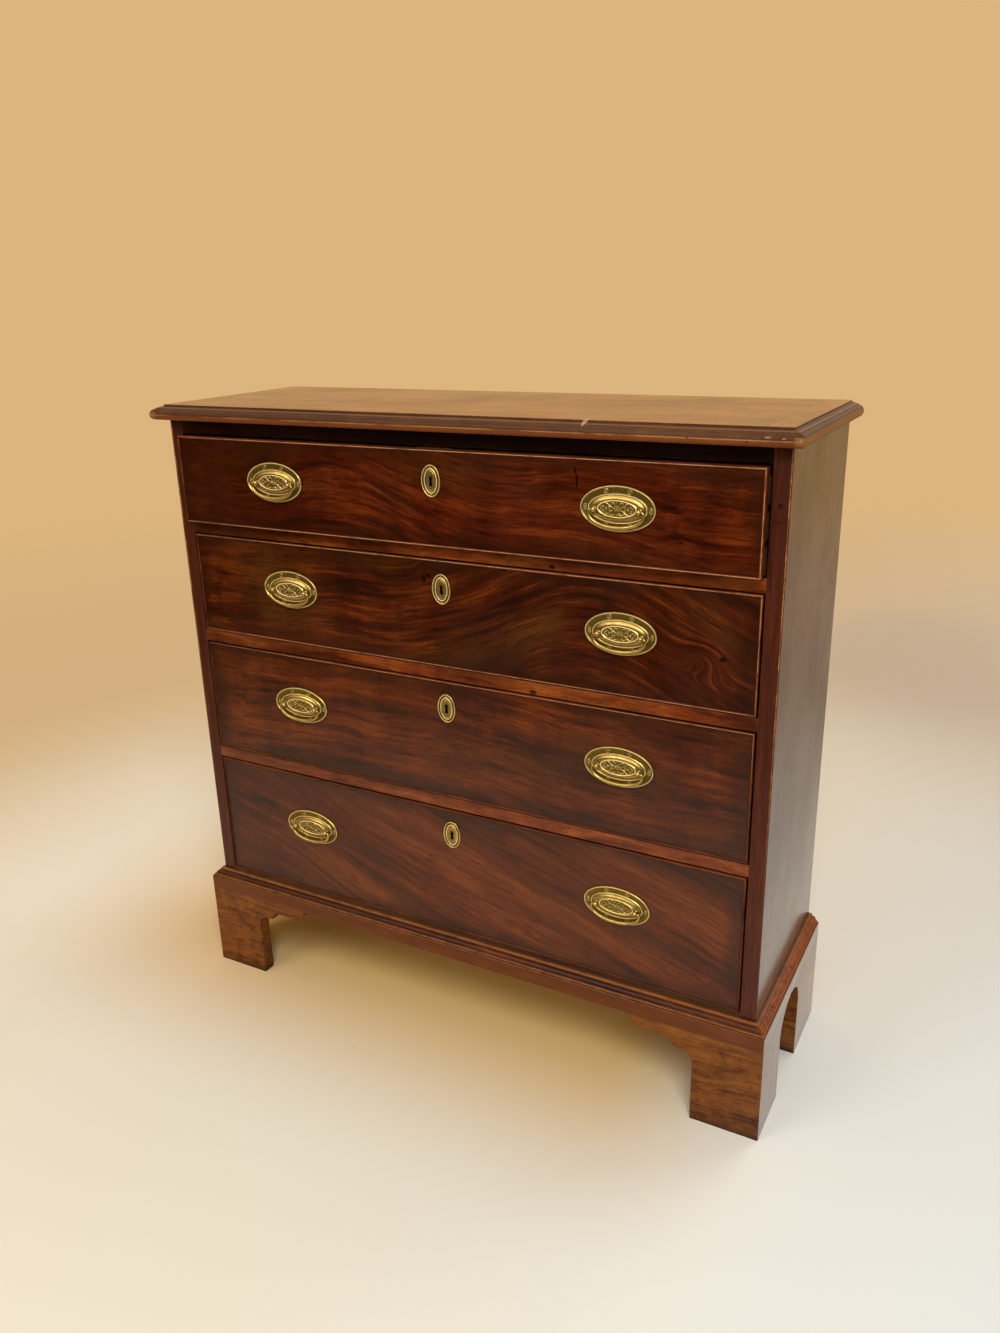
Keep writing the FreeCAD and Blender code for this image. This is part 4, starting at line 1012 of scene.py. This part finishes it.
def makeBrasses():
    plateModel, escutcheonModel, postModel, bailModel = makePlate(), makeEscutcheon(), makePost(), makeBail()
    for n in drawers:
        body = f"drawer_{n}"
        low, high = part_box(f"{body}_handle_plates")
        middle = (low.z + high.z) / 2
        pivots = {side: Vector(joints[f"bail_{n}_{side}_swing"]["pos_m"]) for side in ("left", "right")}
        pair = [copyOf(plateModel, f"drawer{n}Plates", (pivot.x, high.y, middle)) for pivot in pivots.values()]
        pair = joinInto(pair[0], pair[1:])
        posts = []
        for pivot in pivots.values():
            for sign in (-1, 1):
                place = pivot + Vector((post["apart"] * sign, post["stand"], 0)) * mm
                posts.append(copyOf(postModel, f"drawer{n}Posts", place))
        posts = joinInto(posts[0], posts[1:])
        low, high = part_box(f"{body}_escutcheon")
        shield = copyOf(escutcheonModel, f"drawer{n}Escutcheon", (0, high.y, (low.z + high.z) / 2))
        for piece, node in ((pair, "handle_plates"), (posts, "handle_posts"), (shield, "escutcheon")):
            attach(piece, body)
            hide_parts(f"{body}_{node}")
        for side, pivot in pivots.items():
            ring = copyOf(bailModel, f"bail{n}{side.capitalize()}", pivot)
            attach(ring, f"bail_{n}_{side}")
            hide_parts(f"{body}_bail_{side}")
    for model in (plateModel, escutcheonModel, postModel, bailModel):
        bpy.data.objects.remove(model)


makeBrasses()
print("brasses made")

# Base moulding, as (out from the carcass, up from its lower edge) in millimetres, from the inner lower corner
moulding = {
    "profile": [
        (15.0, 0.0), (15.0, 19.2), (14.6, 19.7), (12.2, 19.7), (12.8, 20.3), (13.0, 21.0), (12.8, 21.7),
        (12.2, 22.2), (11.4, 22.3), (10.8, 22.1), (10.7, 22.9), (10.1, 24.7), (8.9, 26.3), (7.2, 27.5),
        (5.2, 28.1), (4.6, 28.2), (4.9, 28.8), (5.1, 29.5), (4.9, 30.3), (4.3, 30.9), (3.5, 31.0), (0.0, 31.0),
        (0.0, 0.0),
    ],
    "reach": 15.0,
    "behind": 0.1,
    "weld": 0.00001,
    "smooth": 35,
}


def makeMoulding():
    low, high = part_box("base_moulding")
    front = low.y + moulding["reach"] * mm
    halfWidth = high.x - moulding["reach"] * mm
    halfDepth = (high.y + moulding["behind"] - front) / 2
    middle = front + halfDepth
    bpy.ops.mesh.primitive_plane_add(size=2)
    made = bpy.context.object
    made.name = "baseMoulding"
    bpy.ops.object.mode_set(mode="EDIT")
    bpy.ops.mesh.delete(type="ONLY_FACE")
    bpy.ops.mesh.select_all(action="SELECT")
    bpy.ops.transform.resize(value=(halfWidth, halfDepth, 1), center_override=(0, 0, 0))
    bpy.ops.transform.translate(value=(0, middle, low.z))
    lastOut, lastUp = 0, 0
    for out, up in moulding["profile"]:
        bpy.ops.mesh.extrude_edges_move(TRANSFORM_OT_translate={"value": (0, 0, (up - lastUp) * mm)})
        wider = (halfWidth + out * mm) / (halfWidth + lastOut * mm)
        deeper = (halfDepth + out * mm) / (halfDepth + lastOut * mm)
        bpy.ops.transform.resize(value=(wider, deeper, 1), center_override=(0, middle, 0))
        lastOut, lastUp = out, up
    bpy.ops.mesh.select_all(action="SELECT")
    bpy.ops.mesh.remove_doubles(threshold=moulding["weld"])
    bpy.ops.mesh.bisect(plane_co=(0, high.y, 0), plane_no=(0, 1, 0), use_fill=True, clear_outer=True)
    bpy.ops.object.mode_set(mode="OBJECT")
    finishPiece(made, moulding["smooth"], mouldingWood, 1)
    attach(made, "carcass")
    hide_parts("base_moulding")


makeMoulding()
print("moulding made")

# Floor, backdrop and lamps
studio = {
    "floorReach": 14, "floorFinish": (0.8, 0.2),  # half its width, then its roughness and specular
    "paleLeft": colour(232, 239, 233), "paleRight": colour(216, 234, 246), "paleAcross": (-0.1, 0.9),
    "paleReach": (0.88, 1.72),  # the floor is pale up to the first distance and tan from the second
    "tan": colour(219, 179, 124), "clouds": (2.5, 3.0), "cloudAmount": 0.08,
    "under": colour(212, 178, 112), "underAcross": [(0.48, 0.2), (-0.9, -0.35)],
    "underAlong": [(-0.42, -0.02), (0.4, 0.1)],
    "dimLeft": colour(210, 174, 126), "dimRight": colour(205, 180, 151), "dimAcross": (-0.8, 0.8),
    "dimReach": (1.8, 4.6),
    "fall": (0.3, 1.6, 0.45, 0.9),  # the soft shadow behind: its middle and its reach across and along
    "fallSpan": (1.0, 0.0, 0.0, 0.45), "fallen": colour(178, 160, 138),
    "shade": colour(40, 28, 18), "floorAhead": (-0.75, -1.4), "skyAhead": (0.0, -0.5),
    "ceiling": colour(246, 226, 190), "skyAbove": (0.2, 0.6), "ambient": colour(238, 182, 112), "light": 0.6,
}


def shownRays():
    path = addNode("LightPath").outputs
    shown = plus(path["Is Camera Ray"], path["Is Glossy Ray"])
    return maths("ADD", shown, path["Is Transmission Ray"], clamp=True), path["Is Camera Ray"]


def makeFloor():
    bpy.ops.mesh.primitive_plane_add(size=studio["floorReach"] * 2)
    floor = bpy.context.object
    floor.name = "studioFloor"
    look = studio
    material, shader, output, place = startMaterial("paleFloor")
    x, y, z = axesOf(place)
    pale = mixColour(ranged(x, *look["paleAcross"]), look["paleLeft"], look["paleRight"])
    pale = cover(pale, look["tan"], noise(place, *look["clouds"]), look["cloudAmount"])
    # Painted shadow: the floor is tinted tan beneath the chest and just in front of it
    across = times(*[ranged(x, *span) for span in look["underAcross"]])
    along = times(*[ranged(y, *span) for span in look["underAlong"]])
    pale = cover(pale, look["under"], across, along)
    roughness, specular = look["floorFinish"]
    setInputs(shader, {"Base Color": pale, "Roughness": roughness, "Specular IOR Level": specular})
    distance = vectorMaths("LENGTH", place, output="Value")
    beyond = mixColour(ranged(x, *look["dimAcross"]), look["dimLeft"], look["dimRight"])
    beyond = cover(beyond, look["tan"], ranged(distance, *look["dimReach"]))
    beyond = cover(beyond, look["fallen"], ranged(spreadFrom(x, y, look["fall"]), *look["fallSpan"]))
    shown, camera = shownRays()
    dim = times(ranged(y, *look["floorAhead"]), minus(1.0, camera))
    glow = addNode("Emission", {"Color": cover(beyond, look["shade"], dim)}).outputs[0]
    amount = times(shown, maths("MAXIMUM", ranged(distance, *look["paleReach"]), dim))
    both = addNode("MixShader", {0: amount, 1: shader.outputs[0], 2: glow}).outputs[0]
    setInputs(output, {0: both})
    floor.data.materials.append(material)


def makeWorld():
    world = bpy.data.worlds.new("softStudio")
    bpy.context.scene.world = world
    world.use_nodes = True
    openTree(world.node_tree)
    tree.nodes.clear()
    look = studio
    x, y, z = axesOf(addNode("TexCoord").outputs["Generated"])
    shown, camera = shownRays()
    unseen = minus(1.0, camera)
    backdrop = cover(look["tan"], look["shade"], ranged(y, *look["skyAhead"]), unseen)
    backdrop = cover(backdrop, look["ceiling"], ranged(z, *look["skyAbove"]), unseen)
    soft = addNode("Background", {"Color": look["ambient"], "Strength": look["light"]}).outputs[0]
    seen = addNode("Background", {"Color": backdrop, "Strength": 1.0}).outputs[0]
    addNode("OutputWorld", {0: addNode("MixShader", {0: shown, 1: soft, 2: seen}).outputs[0]})


lamps = {
    "key": {"place": (1.5, -2.4, 3.0), "aim": (0, 0, 0.45), "size": 1.4, "power": 96, "colour": (0.9, 0.96, 1.0)},
    "left": {"place": (-1.3, -2.6, 2.6), "aim": (0, 0, 0.45), "size": 1.6, "power": 33, "colour": (0.98, 0.96, 0.92)},
    "back": {"place": (1.4, 2.2, 3.0), "aim": (0, 0, 0.6), "size": 1.8, "power": 30, "colour": (1.0, 0.96, 0.92)},
}


def makeLamps():
    for name, look in lamps.items():
        bpy.ops.object.light_add(type="AREA", location=look["place"])
        lamp = bpy.context.object
        lamp.name = f"{name}Lamp"
        lamp.data.size = look["size"]
        lamp.data.energy = look["power"]
        lamp.data.color = look["colour"]
        aim = Vector(look["aim"]) - lamp.location
        lamp.rotation_euler = aim.to_track_quat("-Z", "Y").to_euler()


makeFloor()
makeWorld()
makeLamps()
bpy.context.scene.view_settings.view_transform = "Standard"
print("studio set")
